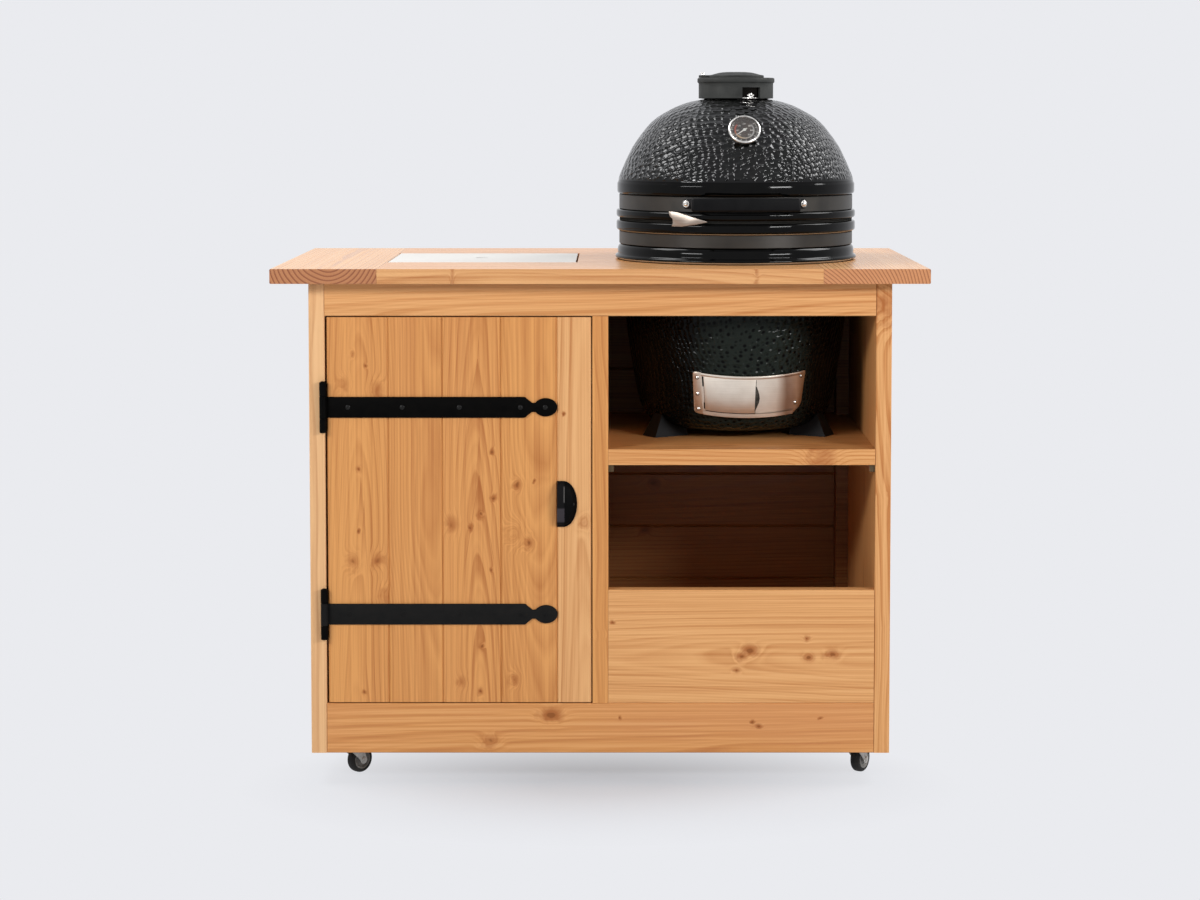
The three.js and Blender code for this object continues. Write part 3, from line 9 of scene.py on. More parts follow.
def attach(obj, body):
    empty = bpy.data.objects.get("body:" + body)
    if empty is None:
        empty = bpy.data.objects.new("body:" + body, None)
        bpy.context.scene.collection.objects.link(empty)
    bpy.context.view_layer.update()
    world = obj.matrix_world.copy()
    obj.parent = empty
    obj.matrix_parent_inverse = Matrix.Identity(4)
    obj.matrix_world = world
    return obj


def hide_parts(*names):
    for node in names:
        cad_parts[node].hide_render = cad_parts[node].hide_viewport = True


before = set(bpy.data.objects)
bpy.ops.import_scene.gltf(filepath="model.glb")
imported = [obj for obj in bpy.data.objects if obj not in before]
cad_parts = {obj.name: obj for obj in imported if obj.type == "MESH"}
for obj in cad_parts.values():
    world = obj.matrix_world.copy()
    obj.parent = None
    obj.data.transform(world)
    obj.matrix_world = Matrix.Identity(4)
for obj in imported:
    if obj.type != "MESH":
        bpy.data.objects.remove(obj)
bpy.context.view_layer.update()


def tint(red, green, blue):  # a colour as a paint program shows it, made linear for the shader
    share = [v / 255 for v in (red, green, blue)]
    return (*[v / 12.92 if v <= 0.04045 else ((v + 0.055) / 1.055) ** 2.4 for v in share], 1)


def turn(degrees, axis):
    return Matrix.Rotation(math.radians(degrees), 4, axis)


def shift(x, y, z):  # millimetres
    return Matrix.Translation((x / 1000, y / 1000, z / 1000))


def moved(shape, matrix):
    bmesh.ops.transform(shape, matrix=matrix, verts=shape.verts)
    return shape


def merged(*shapes):  # several shapes in one bmesh
    whole = bmesh.new()
    for shape in shapes:
        part = bpy.data.meshes.new("part")
        shape.to_mesh(part)
        shape.free()
        whole.from_mesh(part)
        bpy.data.meshes.remove(part)
    return whole


def bevelled(shape, edges, size, segments=2, clamped=True):  # size in millimetres
    bmesh.ops.bevel(shape, geom=edges, offset=size / 1000, offset_type="OFFSET", affect="EDGES",
        segments=segments, profile=0.5, material=-1, clamp_overlap=clamped)
    return shape


def softened(shape, size, segments=2):  # bevels every edge whose faces meet at more than 30 degrees
    bmesh.ops.recalc_face_normals(shape, faces=shape.faces)
    shape.normal_update()
    sharp = [e for e in shape.edges if len(e.link_faces) == 2 and e.calc_face_angle(0) > math.radians(30)]
    return bevelled(shape, sharp, size, segments)


def cutAcross(shape, place, facing, clear=False):  # clear also takes away what lies beyond the cut
    bmesh.ops.bisect_plane(shape, geom=shape.verts[:] + shape.edges[:] + shape.faces[:], dist=1e-7,
        plane_co=place, plane_no=facing, clear_outer=clear)


def curvePoints(knots, steps):  # a smooth line through its knots, with some points between each pair
    line = []
    for i in range(len(knots) - 1):
        a, b = Vector(knots[max(i - 1, 0)]), Vector(knots[i])
        c, d = Vector(knots[i + 1]), Vector(knots[min(i + 2, len(knots) - 1)])
        for k in range(steps):
            t = k / steps
            line.append(0.5 * (2 * b + (c - a) * t + (2 * a - 5 * b + 4 * c - d) * t * t
                + (3 * b - a - 3 * c + d) * t ** 3))
    return [tuple(p) for p in line] + [tuple(knots[-1])]


def arcPoints(middleX, middleZ, radius, start, end, steps=8, radiusZ=None):  # degrees, anticlockwise from +X
    angles = [math.radians(start + (end - start) * i / steps) for i in range(steps + 1)]
    return [(middleX + radius * math.cos(a), middleZ + (radiusZ or radius) * math.sin(a)) for a in angles]


def ringPath(radius, z, count, start):  # points of a level ring round the Z axis
    return [(x, y, z) for x, y in arcPoints(0, 0, radius, start, start + 360, count)[:-1]]


def roundedOutline(points, radii, steps=5):  # each corner of an outline gets its own round
    line = []
    for i, (corner, radius) in enumerate(zip(points, radii)):
        here = Vector(corner)
        before = (Vector(points[i - 1]) - here).normalized()
        after = (Vector(points[(i + 1) % len(points)]) - here).normalized()
        for t in [k / steps for k in range(steps + 1)]:
            line.append(tuple(here + before * radius * (1 - t) ** 2 + after * radius * t * t))
    return line


def turnedShape(profile, steps):  # spins a line of radius and height, in millimetres
    shape = bmesh.new()
    points = [shape.verts.new((r / 1000, 0, z / 1000)) for r, z in profile]
    edges = [shape.edges.new(pair) for pair in zip(points, points[1:])]
    bmesh.ops.spin(shape, geom=points + edges, cent=(0, 0, 0), axis=(0, 0, 1), dvec=(0, 0, 0),
        angle=2 * math.pi, steps=steps, use_merge=True)
    bmesh.ops.remove_doubles(shape, verts=shape.verts, dist=1e-6)
    bmesh.ops.dissolve_degenerate(shape, edges=shape.edges, dist=1e-7)
    return shape


def blockShape(low, high, ease=0, segments=3):  # a box between two corners in millimetres, its edges rounded
    shape = bmesh.new()
    bmesh.ops.create_cube(shape, size=1)
    bmesh.ops.scale(shape, vec=[(b - a) / 1000 for a, b in zip(low, high)], verts=shape.verts)
    bmesh.ops.translate(shape, vec=[(a + b) / 2000 for a, b in zip(low, high)], verts=shape.verts)
    return bevelled(shape, shape.edges[:], ease, segments) if ease else shape


def rodShape(radius, length, segments=24, ease=0):  # a rod on Z from 0, in millimetres, its ends eased
    shape = bmesh.new()
    bmesh.ops.create_cone(shape, cap_ends=True, segments=segments, radius1=radius / 1000,
        radius2=radius / 1000, depth=length / 1000)
    bmesh.ops.translate(shape, vec=(0, 0, length / 2000), verts=shape.verts)
    rims = [e for e in shape.edges if abs(e.verts[0].co.z - e.verts[1].co.z) < 1e-6]
    return bevelled(shape, rims, ease, 2, False) if ease else shape


def flatShape(points, depth, bevel=0, window=None, slices=()):
    # an outline in X and Z, thickened towards -Y; a window is left out of it, and slices cross it for bending
    shape = bmesh.new()
    shape.faces.new([shape.verts.new((x / 1000, 0, z / 1000)) for x, z in points])
    for x in [*slices, *(window[:2] if window else ())]:
        cutAcross(shape, (x / 1000, 0, 0), (1, 0, 0))
    if window:
        left, right, low, high = [v / 1000 for v in window]
        for z in (low, high):
            cutAcross(shape, (0, 0, z), (0, 0, 1))
        middles = [(f, f.calc_center_median()) for f in shape.faces]
        inside = [f for f, middle in middles if left < middle.x < right and low < middle.z < high]
        bmesh.ops.delete(shape, geom=inside, context="FACES")
    grown = bmesh.ops.extrude_face_region(shape, geom=shape.faces[:], use_keep_orig=True)
    bmesh.ops.translate(shape, vec=(0, -depth / 1000, 0),
        verts=[v for v in grown["geom"] if isinstance(v, bmesh.types.BMVert)])
    return softened(shape, bevel) if bevel else shape


def barShape(points, low, high, bevel=0, slices=()):  # an outline in Y and Z, drawn out along X
    shape = flatShape(points, high - low)
    moved(shape, Matrix(((0, -1, 0, low / 1000), (1, 0, 0, 0), (0, 0, 1, 0), (0, 0, 0, 1))))
    for x in slices:
        cutAcross(shape, (x / 1000, 0, 0), (1, 0, 0))
    return softened(shape, bevel) if bevel else shape


def bentShape(shape, middle, radiusAt):  # X becomes the way round the Z axis, -Y the way out from a radius
    for point in shape.verts:
        x, y, z = [v * 1000 for v in point.co]
        angle = x / middle
        radius = radiusAt(z) - y
        point.co = (radius * math.sin(angle) / 1000, -radius * math.cos(angle) / 1000, z / 1000)
    return shape


def tubeShape(path, radius, sides=10, closed=False):  # a wire along points in millimetres
    shape = bmesh.new()
    path = [Vector(p) / 1000 for p in path]
    count = len(path)
    rings = []
    normal = None
    for i, here in enumerate(path):
        before = path[i - 1] if i or closed else here
        after = path[(i + 1) % count] if i + 1 < count or closed else here
        forwards = (after - before).normalized()
        if normal is None:
            normal = forwards.orthogonal().normalized()
        normal = (normal - forwards * normal.dot(forwards)).normalized()
        facing = Matrix((normal, forwards.cross(normal), forwards)).transposed().to_4x4()
        ring = bmesh.ops.create_circle(shape, cap_ends=False, segments=sides, radius=radius / 1000,
            matrix=Matrix.Translation(here) @ facing)
        rings.append(ring["verts"])
    for first, second in list(zip(rings, rings[1:])) + [(rings[-1], rings[0])] * closed:
        for k in range(sides):
            m = (k + 1) % sides
            shape.faces.new((first[k], first[m], second[m], second[k]))
    if not closed:
        shape.faces.new(rings[0][::-1])
        shape.faces.new(rings[-1])
    return shape


def domedHead(radius, height, socket=0):  # a low screw head on Z from 0, with a round socket where asked
    outer = [(radius * math.cos(a), height * math.sin(a)) for a in [math.radians(15 * i) for i in range(7)]]
    if not socket:
        return turnedShape([(0, 0)] + outer[:-1] + [(0, height)], 24)
    rim = [p for p in outer if p[0] > socket * 1.15]
    return turnedShape([(0, 0)] + rim + [(socket, height * 0.9), (socket * 0.9, height * 0.35),
        (0, height * 0.3)], 24)


def linked(name, data):  # a new object in the scene
    thing = bpy.data.objects.new(name, data)
    bpy.context.scene.collection.objects.link(thing)
    return thing


def addPiece(name, shape, body, finish, replaced=None, smoothAngle=30, place=None):
    if place is not None:
        moved(shape, place)
    bmesh.ops.recalc_face_normals(shape, faces=shape.faces)
    mesh = bpy.data.meshes.new(name)
    shape.to_mesh(mesh)
    shape.free()
    mesh.polygons.foreach_set("use_smooth", [True] * len(mesh.polygons))
    mesh.set_sharp_from_angle(angle=math.radians(smoothAngle))
    mesh.materials.append(finish)
    piece = linked(name, mesh)
    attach(piece, body)
    if replaced:
        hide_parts(replaced)
    return piece


def dress(node, material, ease=0):  # a node shown as it is: its material, and its edges eased in millimetres
    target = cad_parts[node]
    target.data.materials.clear()
    target.data.materials.append(material)
    if ease:
        soft = target.modifiers.new("easedEdges", "BEVEL")
        soft.width = ease / 1000
        soft.segments = 2
        soft.limit_method = "ANGLE"
        soft.angle_limit = math.radians(30)


class Wire:  # one socket of a node tree; operators on it add Math nodes
    def __init__(self, tree, socket=None):
        self.tree = tree
        self.socket = socket

    def add(self, kind, settings=None, inputs=None, out=0):
        node = self.tree.nodes.new(kind)
        for name, value in (settings or {}).items():
            if name == "stops":
                self.fillRamp(node.color_ramp, value)
            else:
                setattr(node, name, value)
        for name, value in (inputs or {}).items():
            if isinstance(value, Wire):
                self.tree.links.new(value.socket, node.inputs[name])
            else:
                node.inputs[name].default_value = value
        return Wire(self.tree, node.outputs[out] if node.outputs else None)

    def fillRamp(self, ramp, stops):
        while len(ramp.elements) < len(stops):
            ramp.elements.new(0.5)
        for element, (position, value) in zip(ramp.elements, stops):
            element.position = position
            element.color = value if isinstance(value, tuple) else (value, value, value, 1)

    def calc(self, operation, *values):
        return self.add("ShaderNodeMath", {"operation": operation}, dict(enumerate(values)))

    def __add__(self, other):
        return self.calc("ADD", self, other)

    def __radd__(self, other):
        return self.calc("ADD", other, self)

    def __sub__(self, other):
        return self.calc("SUBTRACT", self, other)

    def __rsub__(self, other):
        return self.calc("SUBTRACT", other, self)

    def __mul__(self, other):
        return self.calc("MULTIPLY", self, other)

    def __rmul__(self, other):
        return self.calc("MULTIPLY", other, self)

    def __truediv__(self, other):
        return self.calc("DIVIDE", self, other)

    def __pow__(self, other):
        return self.calc("POWER", self, other)

    def most(self, other):
        return self.calc("MAXIMUM", self, other)

    def rest(self):  # what is left above the last whole number
        return self.calc("FRACT", self)

    def size(self):
        return self.calc("ABSOLUTE", self)

    def fading(self, rate):  # 1 at 0, then less and less
        return self.calc("EXPONENT", self * -rate)

    def held(self):  # kept between 0 and 1
        return self.add("ShaderNodeClamp", None, {0: self})

    def above(self, level, blend):  # 0 up to the level, then 1 within the blend
        return ((self - level) / blend).held()

    def below(self, level, blend):
        return ((level - self) / blend).held()

    def ramp(self, *stops):
        return self.add("ShaderNodeValToRGB", {"stops": list(stops)}, {"Fac": self})

    def between(self, start, rise, fall, end):  # 0 outside, 1 from rise to fall
        return self.ramp((0.0, 0.0), (start, 0.0), (rise, 1.0), (fall, 1.0), (end, 0.0), (1.0, 0.0))

    def mix(self, first, second):  # two colours, self is the factor
        return self.add("ShaderNodeMix", {"data_type": "RGBA", "blend_type": "MIX"},
            {0: self, 6: first, 7: second}, 2)

    def vector(self, operation, *values):
        return self.add("ShaderNodeVectorMath", {"operation": operation}, dict(enumerate((self, *values))))

    def stretched(self, x, y, z):
        return self.vector("MULTIPLY", (x, y, z))

    def noise(self, scale, detail=2, roughness=0.5, out=0):
        return self.add("ShaderNodeTexNoise", None, {"Vector": self, "Scale": scale, "Detail": detail,
            "Roughness": roughness}, out)

    def cells(self, scale, randomness, smoothness):  # distance to the nearest point of a loose grid
        return self.add("ShaderNodeTexVoronoi", {"feature": "SMOOTH_F1"},
            {"Vector": self, "Scale": scale, "Randomness": randomness, "Smoothness": smoothness})

    def turned(self, *angles):
        return self.add("ShaderNodeVectorRotate", {"rotation_type": "EULER_XYZ"},
            {"Vector": self, "Rotation": angles})

    def axes(self):
        return [self.add("ShaderNodeSeparateXYZ", None, {0: self}, i) for i in range(3)]

    def bump(self, distance, strength=1.0):  # self is the height, 0 to 1
        return self.add("ShaderNodeBump", None, {"Height": self, "Distance": distance, "Strength": strength})


socketNames = {"colour": "Base Color", "roughness": "Roughness", "metal": "Metallic", "normal": "Normal",
    "specular": "Specular IOR Level", "transmission": "Transmission Weight", "ior": "IOR"}


class Finish:  # a material with its Principled shader and the object's own coordinates
    def __init__(self, name, **constants):
        self.material = bpy.data.materials.new(name)
        self.material.use_nodes = True
        self.tree = self.material.node_tree
        self.shader = self.tree.nodes["Principled BSDF"]
        self.place = Wire(self.tree).add("ShaderNodeTexCoord", None, None, 3)
        for socket, value in constants.items():
            self.feed(socket, value)

    def feed(self, socket, value):
        target = self.shader.inputs[socketNames[socket]]
        if isinstance(value, Wire):
            self.tree.links.new(value.socket, target)
        else:
            target.default_value = value

    def dressed(self, colour, roughness, normal):
        self.feed("colour", colour)
        self.feed("roughness", roughness)
        self.feed("normal", normal)
        return self.material


timberLook = {
    "light": tint(214, 151, 86), "dark": tint(170, 103, 48), "sap": tint(230, 188, 140),
    "rosy": tint(202, 137, 90), "knot": tint(130, 72, 20), "scar": tint(156, 86, 34),
    "endGrain": tint(126, 62, 30), "shade": tint(48, 26, 10), "underShelfShade": tint(52, 46, 26),
    "bump": 0.00012, "backFace": 0.2925, "eased": 0.6,
}


def timberFinish(name, axes, pith, slope=0.03, tone=0.0, sap=0.0, rosy=0.12, contrast=0.7, ringWidth=0.0062,
        knots=(), seed=0.0, roughness=0.5, lines=0.5, shade=0.0, endToneAndShade=0.1, gloss=0.35, spears=(),
        cleats=None):
    # axes: the way the grain runs, then across the board's face, then through the board
    # knots and spears are in millimetres
    look = timberLook
    finish = Finish(name, specular=gloss)
    byName = dict(zip("xyz", finish.place.axes()))
    along, across, deep = [byName[a] for a in axes]

    def spread(onGrain, offGrain):  # the object's coordinates, scaled along and across the grain
        grown = finish.place.stretched(*[onGrain if a == axes[0] else offGrain for a in "xyz"])
        return grown.vector("ADD", (seed, seed * 0.7, seed * 1.3))

    wander = spread(1.3, 5.0).noise(1.0, 2)
    ragged = spread(60.0, 60.0).noise(1.0, 2)
    sideways = across - pith[0] + (wander - 0.5) * 0.030
    inwards = deep - pith[1] + (along - 0.5) * slope + (wander - 0.5) * 0.02
    distance = (sideways * sideways + inwards * inwards) ** 0.5
    scar = eye = None
    for *place, depth in knots:
        knotAcross, knotAlong, size = [v / 1000 for v in place]
        a = (across - knotAcross + (ragged - 0.5) * 0.010) / size
        b = (along - knotAlong + (ragged - 0.5) * 0.014) / (size * 1.4)
        far = a * a + b * b
        hump = far.fading(1.0)
        distance = distance + hump * (size * 0.8)
        swirl = hump * min(1.0, 0.35 + depth * 0.5)
        dot = far.fading(7.0) * depth
        scar = scar.most(swirl) if scar else swirl
        eye = eye.most(dot) if eye else dot
    blotch = spread(1.6, 9.0).noise(1.0, 3)
    rings = distance / ringWidth + blotch * 1.4
    late = rings.rest().ramp((0.0, 0.02), (0.55, 0.10), (0.86, 1.0), (0.94, 0.95), (1.0, 0.02))
    thinLate = (rings * 3.1).rest().ramp((0.0, 0.0), (0.7, 1.0), (1.0, 0.0))
    fibre = spread(9.0, 520.0).noise(1.0, 4, 0.65)
    broad = spread(0.7, 22.0).noise(1.0, 3)
    streak = spread(0.9, 150.0).noise(1.0, 2)
    hair = spread(1.6, 330.0).noise(1.0, 1)
    strength = broad.ramp((0.3, 0.15), (0.7, 1.0))
    darkShare = late * strength * contrast + thinLate * (lines * 0.35) + (0.10 + tone)
    for fleck, share in ((fibre, 0.5), (streak, 0.9), (hair, 0.8), (blotch, 0.35)):
        darkShare = darkShare + (fleck - 0.5) * share
    colour = darkShare.mix(look["light"], look["dark"])
    colour = (blotch.ramp((0.35, 0.0), (0.7, 1.0)) * rosy).mix(colour, look["rosy"])
    if sap:
        colour = (sap - darkShare * 0.35).mix(colour, look["sap"])
    for spear in spears:  # the dark point of a nest of arches, with its two sides running on
        tipAcross, tip, foot, half = [v / 1000 for v in spear]
        down = (tip - along) / (tip - foot)
        offset = ((across - tipAcross + (wander - 0.5) * 0.004 + (ragged - 0.5) * 0.0012) / half).size()
        begun = (down * 30.0).held()
        inside = ((down - offset) * 9.0).held() * ((1.08 - down) * 12.0).held() * begun
        sides = (1.0 - (offset - down) * (offset - down) * 420.0).held() * begun * ((2.2 - down) * 2.0).held()
        colour = (inside * (1.05 - down) * 0.75).mix(colour, look["scar"])
        colour = (sides * 0.6).mix(colour, look["scar"])
    if cleats:  # painted shade: what hangs below the shelf is darker
        colour = (byName["z"].below(cleats, 0.001) * 0.94).mix(colour, look["underShelfShade"])
    if scar:
        mark = (scar + (ragged - 0.5) * 0.55).ramp((0.20, 0.0), (0.66, 0.85))
        colour = mark.mix(colour, look["scar"])
        colour = eye.ramp((0.30, 0.0), (0.55, 0.8)).mix(colour, look["knot"])
    facing = finish.place.add("ShaderNodeTexCoord", None, None, 1).axes()["xyz".index(axes[0])]
    end = facing.size().ramp((0.80, 0.0), (0.92, 1.0))
    # the end grain's own darker tone; on the left top end board it is raised to paint shade on that end
    endTone = (late * 0.8 + (fibre - 0.5) * 0.3 + endToneAndShade).mix(look["rosy"], look["endGrain"])
    colour = (end * 0.9).mix(colour, endTone)
    if shade:  # painted shade: the back's boards are dark towards the inside
        inside = byName["y"].below(look["backFace"], 0.001)
        colour = ((fibre * 0.2 + shade) * inside).mix(colour, look["shade"])
    rough = roughness + (fibre - 0.5) * 0.25 - late * 0.06
    return finish.dressed(colour, rough, (late * 0.5 + fibre).bump(look["bump"], 0.6))


boards = {
    "side_panel_left": dict(axes="zyx", pith=(0.1, -0.6), sap=0.75, rosy=0),
    "side_panel_right": dict(axes="zyx", pith=(-0.1, 0.6), sap=0.25,
        knots=[(-290, 888, 30, 0.6), (-330, 530, 16, 0.7), (-330, 490, 12, 0.5), (-330, 353, 9, 0.8),
        (-330, 290, 14, 0.6)]),
    "divider_panel": dict(axes="zyx", pith=(0, 0.09), tone=0.05, knots=[(-300, 277, 5, 1)]),
    "top_rail_front": dict(axes="xzy", pith=(0.86, -0.2), slope=0.02, rosy=0, sap=0.3, lines=0.5,
        contrast=0.5, tone=-0.03, ringWidth=0.005),
    "top_rail_rear": dict(axes="xzy", pith=(0.88, 0.2)),
    "plinth_front": dict(axes="xzy", pith=(0.05, -0.22), slope=0.02, rosy=0.45, sap=0.1, contrast=0.45,
        tone=-0.03, ringWidth=0.009, knots=[(127, -91, 17, 0.9), (78, -205, 14, 0.5), (106, 293, 6, 0.9),
        (115, 283, 4, 0.9), (122, 36, 4, 0.9), (121, 407, 4, 0.6)]),
    "plinth_rear": dict(axes="xzy", pith=(0.1, 0.2)),
    "floor_panel": dict(axes="xyz", pith=(0, 0.05)),
    "kamado_shelf": dict(axes="xyz", pith=(-0.26, 0.55), sap=0.2, tone=-0.04, cleats=0.5932,
        knots=[(-310, 408, 24, 0.35), (-300, 392, 12, 0.4)]),
    "bin_front": dict(axes="xzy", pith=(0.235, -0.24), slope=0.02, sap=0.3, rosy=0, ringWidth=0.01,
        contrast=0.28, lines=0.6, tone=-0.04, knots=[(247, 276, 14, 0.8), (237, 262, 10, 0.6),
        (210, 251, 7, 0.6), (270, 381, 6, 0.6), (234, 384, 9, 0.8), (240, 429, 11, 0.8), (300, 22, 5, 0.9)]),
    # its end grain carries painted shade
    "top_end_board_left": dict(axes="yxz", pith=(-0.495, 0.985), slope=0.004, sap=0.55, rosy=0,
        roughness=0.29, gloss=0.6, ringWidth=0.0075, endToneAndShade=0.42),
    "top_end_board_right": dict(axes="yxz", pith=(0.33, 0.84), slope=0.004, sap=0.5, rosy=0, roughness=0.29,
        gloss=0.6, ringWidth=0.006),
    "top_front_board": dict(axes="xyz", pith=(-0.4, 0.91), sap=0.35, rosy=0.15, roughness=0.29, gloss=0.6,
        ringWidth=0.008, knots=[(-350, -269, 4, 0.35), (-350, 283, 4, 0.3)]),
    "top_back_board": dict(axes="xyz", pith=(0.25, 0.9), sap=0.3, roughness=0.29, gloss=0.6),
    "top_middle_board": dict(axes="xyz", pith=(0, 0.9), sap=0.3, roughness=0.29, gloss=0.6),
    "door_board_1": dict(axes="zxy", pith=(-0.447, -0.36), slope=0.03,
        spears=[(-441, 572, 480, 6), (-435.5, 530, 425, 5)],
        knots=[(-455, 798, 6, 0.4), (-430.5, 777, 4, 1), (-471, 742, 12, 0.3), (-410, 731, 16, 0.3),
        (-445, 585, 5, 0.8), (-445, 471, 4, 1), (-457, 413, 13, 0.5), (-410, 416, 13, 0.5),
        (-396, 349, 16, 0.3), (-436, 171, 4, 0.9)]),
    "door_board_2": dict(axes="zxy", pith=(-0.3, -0.1), slope=0.01, contrast=0.15, tone=0.04, lines=1),
    "door_board_3": dict(axes="zxy", pith=(-0.225, -0.345), slope=0.05, contrast=0.85, ringWidth=0.0085,
        spears=[(-223.5, 835, 775, 2.5), (-225, 790, 715, 12), (-222.5, 646, 572, 6),
        (-222.5, 575, 490, 14)], knots=[(-199, 617, 6, 0.9), (-196, 532, 6, 0.8), (-222, 500, 6, 0.9),
        (-239.5, 477, 6, 0.9), (-274, 483, 15, 0.4), (-202, 397, 4, 0.9), (-219, 255, 5, 0.9),
        (-222, 171, 6, 0.8), (-257, 188, 12, 0.35)]),
    "door_board_4": dict(axes="zxy", pith=(-0.1, -0.1), slope=0.02, contrast=0.4, lines=1,
        knots=[(-153, 556, 9, 0.7), (-121, 564.5, 3, 0.8), (-157, 465, 16, 0.1), (-132, 448, 10, 0.7),
        (-158, 194, 10, 0.4)]),
    "door_board_5": dict(axes="zxy", pith=(-0.03, -0.36), slope=0.02, sap=0.4, rosy=0, contrast=0.5,
        ringWidth=0.009, knots=[(-67, 688, 4, 1), (-31, 486, 12, 0.2)]),
    "door_ledges": dict(axes="xzy", pith=(0.5, -0.1)),
    "back_panel": dict(axes="xzy", pith=(0.5, 0.15), slope=0.02, tone=0.15, rosy=0, seed=24, shade=0.5,
        knots=[(474, 107, 12, 0.9), (375, 90, 12, 0.8)]),
}

for seed, (node, board) in enumerate(boards.items(), 1):
    dress(node, timberFinish("timber_" + node, **{"seed": seed, **board}), timberLook["eased"])
print("timber done")


def mottled(name, cloud, low, high, gloss=None, relief=None, both=False, **constants):
    # cloud is the noise that runs from low to high
    # gloss and relief are two numbers, then their own noise where it isn't the cloud
    finish = Finish(name, **constants)
    tone = finish.place.noise(*cloud)
    finish.feed("colour", tone.ramp(low, high))
    if gloss:
        base, share, *own = gloss
        finish.feed("roughness", base + (finish.place.noise(*own) if own else tone) * share)
    if relief:
        distance, strength, *own = relief
        height = finish.place.noise(*own) if own else tone
        finish.feed("normal", (height + tone if both else height).bump(distance, strength))
    return finish.material


def blackIron(name, shade):
    low, high = tint(shade - 6, shade - 6, shade - 6), tint(shade, shade - 1, shade - 2)
    return mottled(name, (45, 4, 0.6), (0.3, low), (0.75, high), (0.5, 0.22), (0.00025, 0.6, 900, 3), True,
        specular=0.035)


def blackPlastic(name, shade):
    low, high = tint(shade - 10, shade - 10, shade - 9), tint(shade, shade, shade + 1)
    return mottled(name, (30, 3), (0.3, low), (0.8, high), (0.4, 0.15), (0.0001, 0.5, 1400, 2), specular=0.11)


def brushedSteel():
    finish = Finish("brushedSteel", metal=1.0)
    streak = finish.place.stretched(10, 10, 1500).noise(1.0, 3, 0.6)
    smudge = finish.place.noise(22, 3)
    colour = (streak * 0.6 + smudge * 0.4).ramp((0.25, tint(116, 100, 90)), (0.75, tint(172, 164, 154)))
    return finish.dressed(colour, 0.28 + streak * 0.2, streak.bump(0.00006, 0.5))


# where the sheet's painted reflection band lies, and where the sheet darkens towards the bottom
sheetTones = {"foot": 0.672, "rise": 0.085, "stops": ((0.336, 0), (0.356, 0.75), (0.366, 0.45), (0.376, 0.15),
    (0.384, 0.5))}


def draftSteel():  # the draft door's sheet, with a painted reflection band towards its right end, and darker and browner towards the bottom
    finish = Finish("draftSteel", metal=1.0)
    x, y, z = finish.place.axes()
    streak = finish.place.stretched(10, 10, 1500).noise(1.0, 3, 0.6)
    smudge = finish.place.noise(26, 3)
    sheet = (streak * 0.5 + smudge * 0.5).ramp((0.3, tint(206, 192, 177)), (0.7, tint(236, 226, 213)))
    # painted reflection: a dark brownish band near the right end
    reflectionBand = (x + smudge * 0.012).ramp(*sheetTones["stops"])
    lower = ((z - sheetTones["foot"]) / sheetTones["rise"]).ramp((0.0, 0.3), (0.7, 0))
    colour = lower.mix(reflectionBand.mix(sheet, tint(128, 92, 68)), tint(150, 118, 92))
    return finish.dressed(colour, 0.3 + streak * 0.16, streak.bump(0.00006, 0.5))


# where the door pull's grey strip, its painted highlight line and its lighter patch lie
pullMarks = {"edge": -0.0655, "highlightLine": -0.0665, "highlightLineLow": 0.5245, "highlightLineHigh": 0.556, "low": 0.487,
    "high": 0.516}


def pullIronAndHighlight():  # the door pull: greyer along its straight side, partly worn iron and partly painted light, with a painted highlight line high up and a lighter patch low down
    finish = Finish("pullIronAndHighlight", specular=0.05)
    x, y, z = finish.place.axes()
    scuff = finish.place.stretched(1, 1, 0.35).noise(420, 3, 0.7)
    grain = finish.place.noise(900, 3)
    # the straight side greyer: partly worn iron, partly painted light
    strip = (x - (scuff - 0.5) * 0.004).below(pullMarks["edge"], 0.001)
    # painted highlight: a thin light line on the straight side, high up
    highlightLine = (1.0 - ((x - pullMarks["highlightLine"]) / 0.0012) ** 2).held()
    highlightLine = highlightLine * z.above(pullMarks["highlightLineLow"], 0.002) * z.below(pullMarks["highlightLineHigh"], 0.004)
    # a lighter patch on the straight side, low down
    lighterPatch = strip * z.below(pullMarks["high"], 0.003) * z.above(pullMarks["low"], 0.003)
    colour = (strip * 0.6 + (scuff - 0.5) * 0.4).ramp((0.1, tint(4, 4, 4)), (0.9, tint(26, 25, 26)))
    colour = (highlightLine * 0.85).mix((lighterPatch * 0.8).mix(colour, tint(62, 58, 62)), tint(96, 94, 92))
    return finish.dressed(colour, 0.5 + scuff * 0.2, (grain + scuff).bump(0.00025, 0.6))


def zincSteel():  # pressed and plated caster parts
    finish = Finish("zincSteel", metal=0.55, specular=0.5)
    spangle = finish.place.cells(210, 1.0, 0.1)
    smudge = finish.place.noise(70, 3)
    colour = (spangle * 0.4 + smudge * 0.6).ramp((0.2, tint(150, 147, 142)), (0.7, tint(198, 195, 189)))
    return finish.dressed(colour, 0.38 + smudge * 0.2, smudge.bump(0.00015, 0.5))


def plateWhite():
    finish = Finish("plateWhite", specular=0.4)
    speck = finish.place.noise(240, 3)
    cloud = finish.place.noise(5, 2)
    colour = (speck * 0.5 + cloud * 0.5).ramp((0.3, tint(204, 201, 196)), (0.7, tint(214, 212, 208)))
    return finish.dressed(colour, 0.38 + speck * 0.12, speck.bump(0.00008, 0.4))


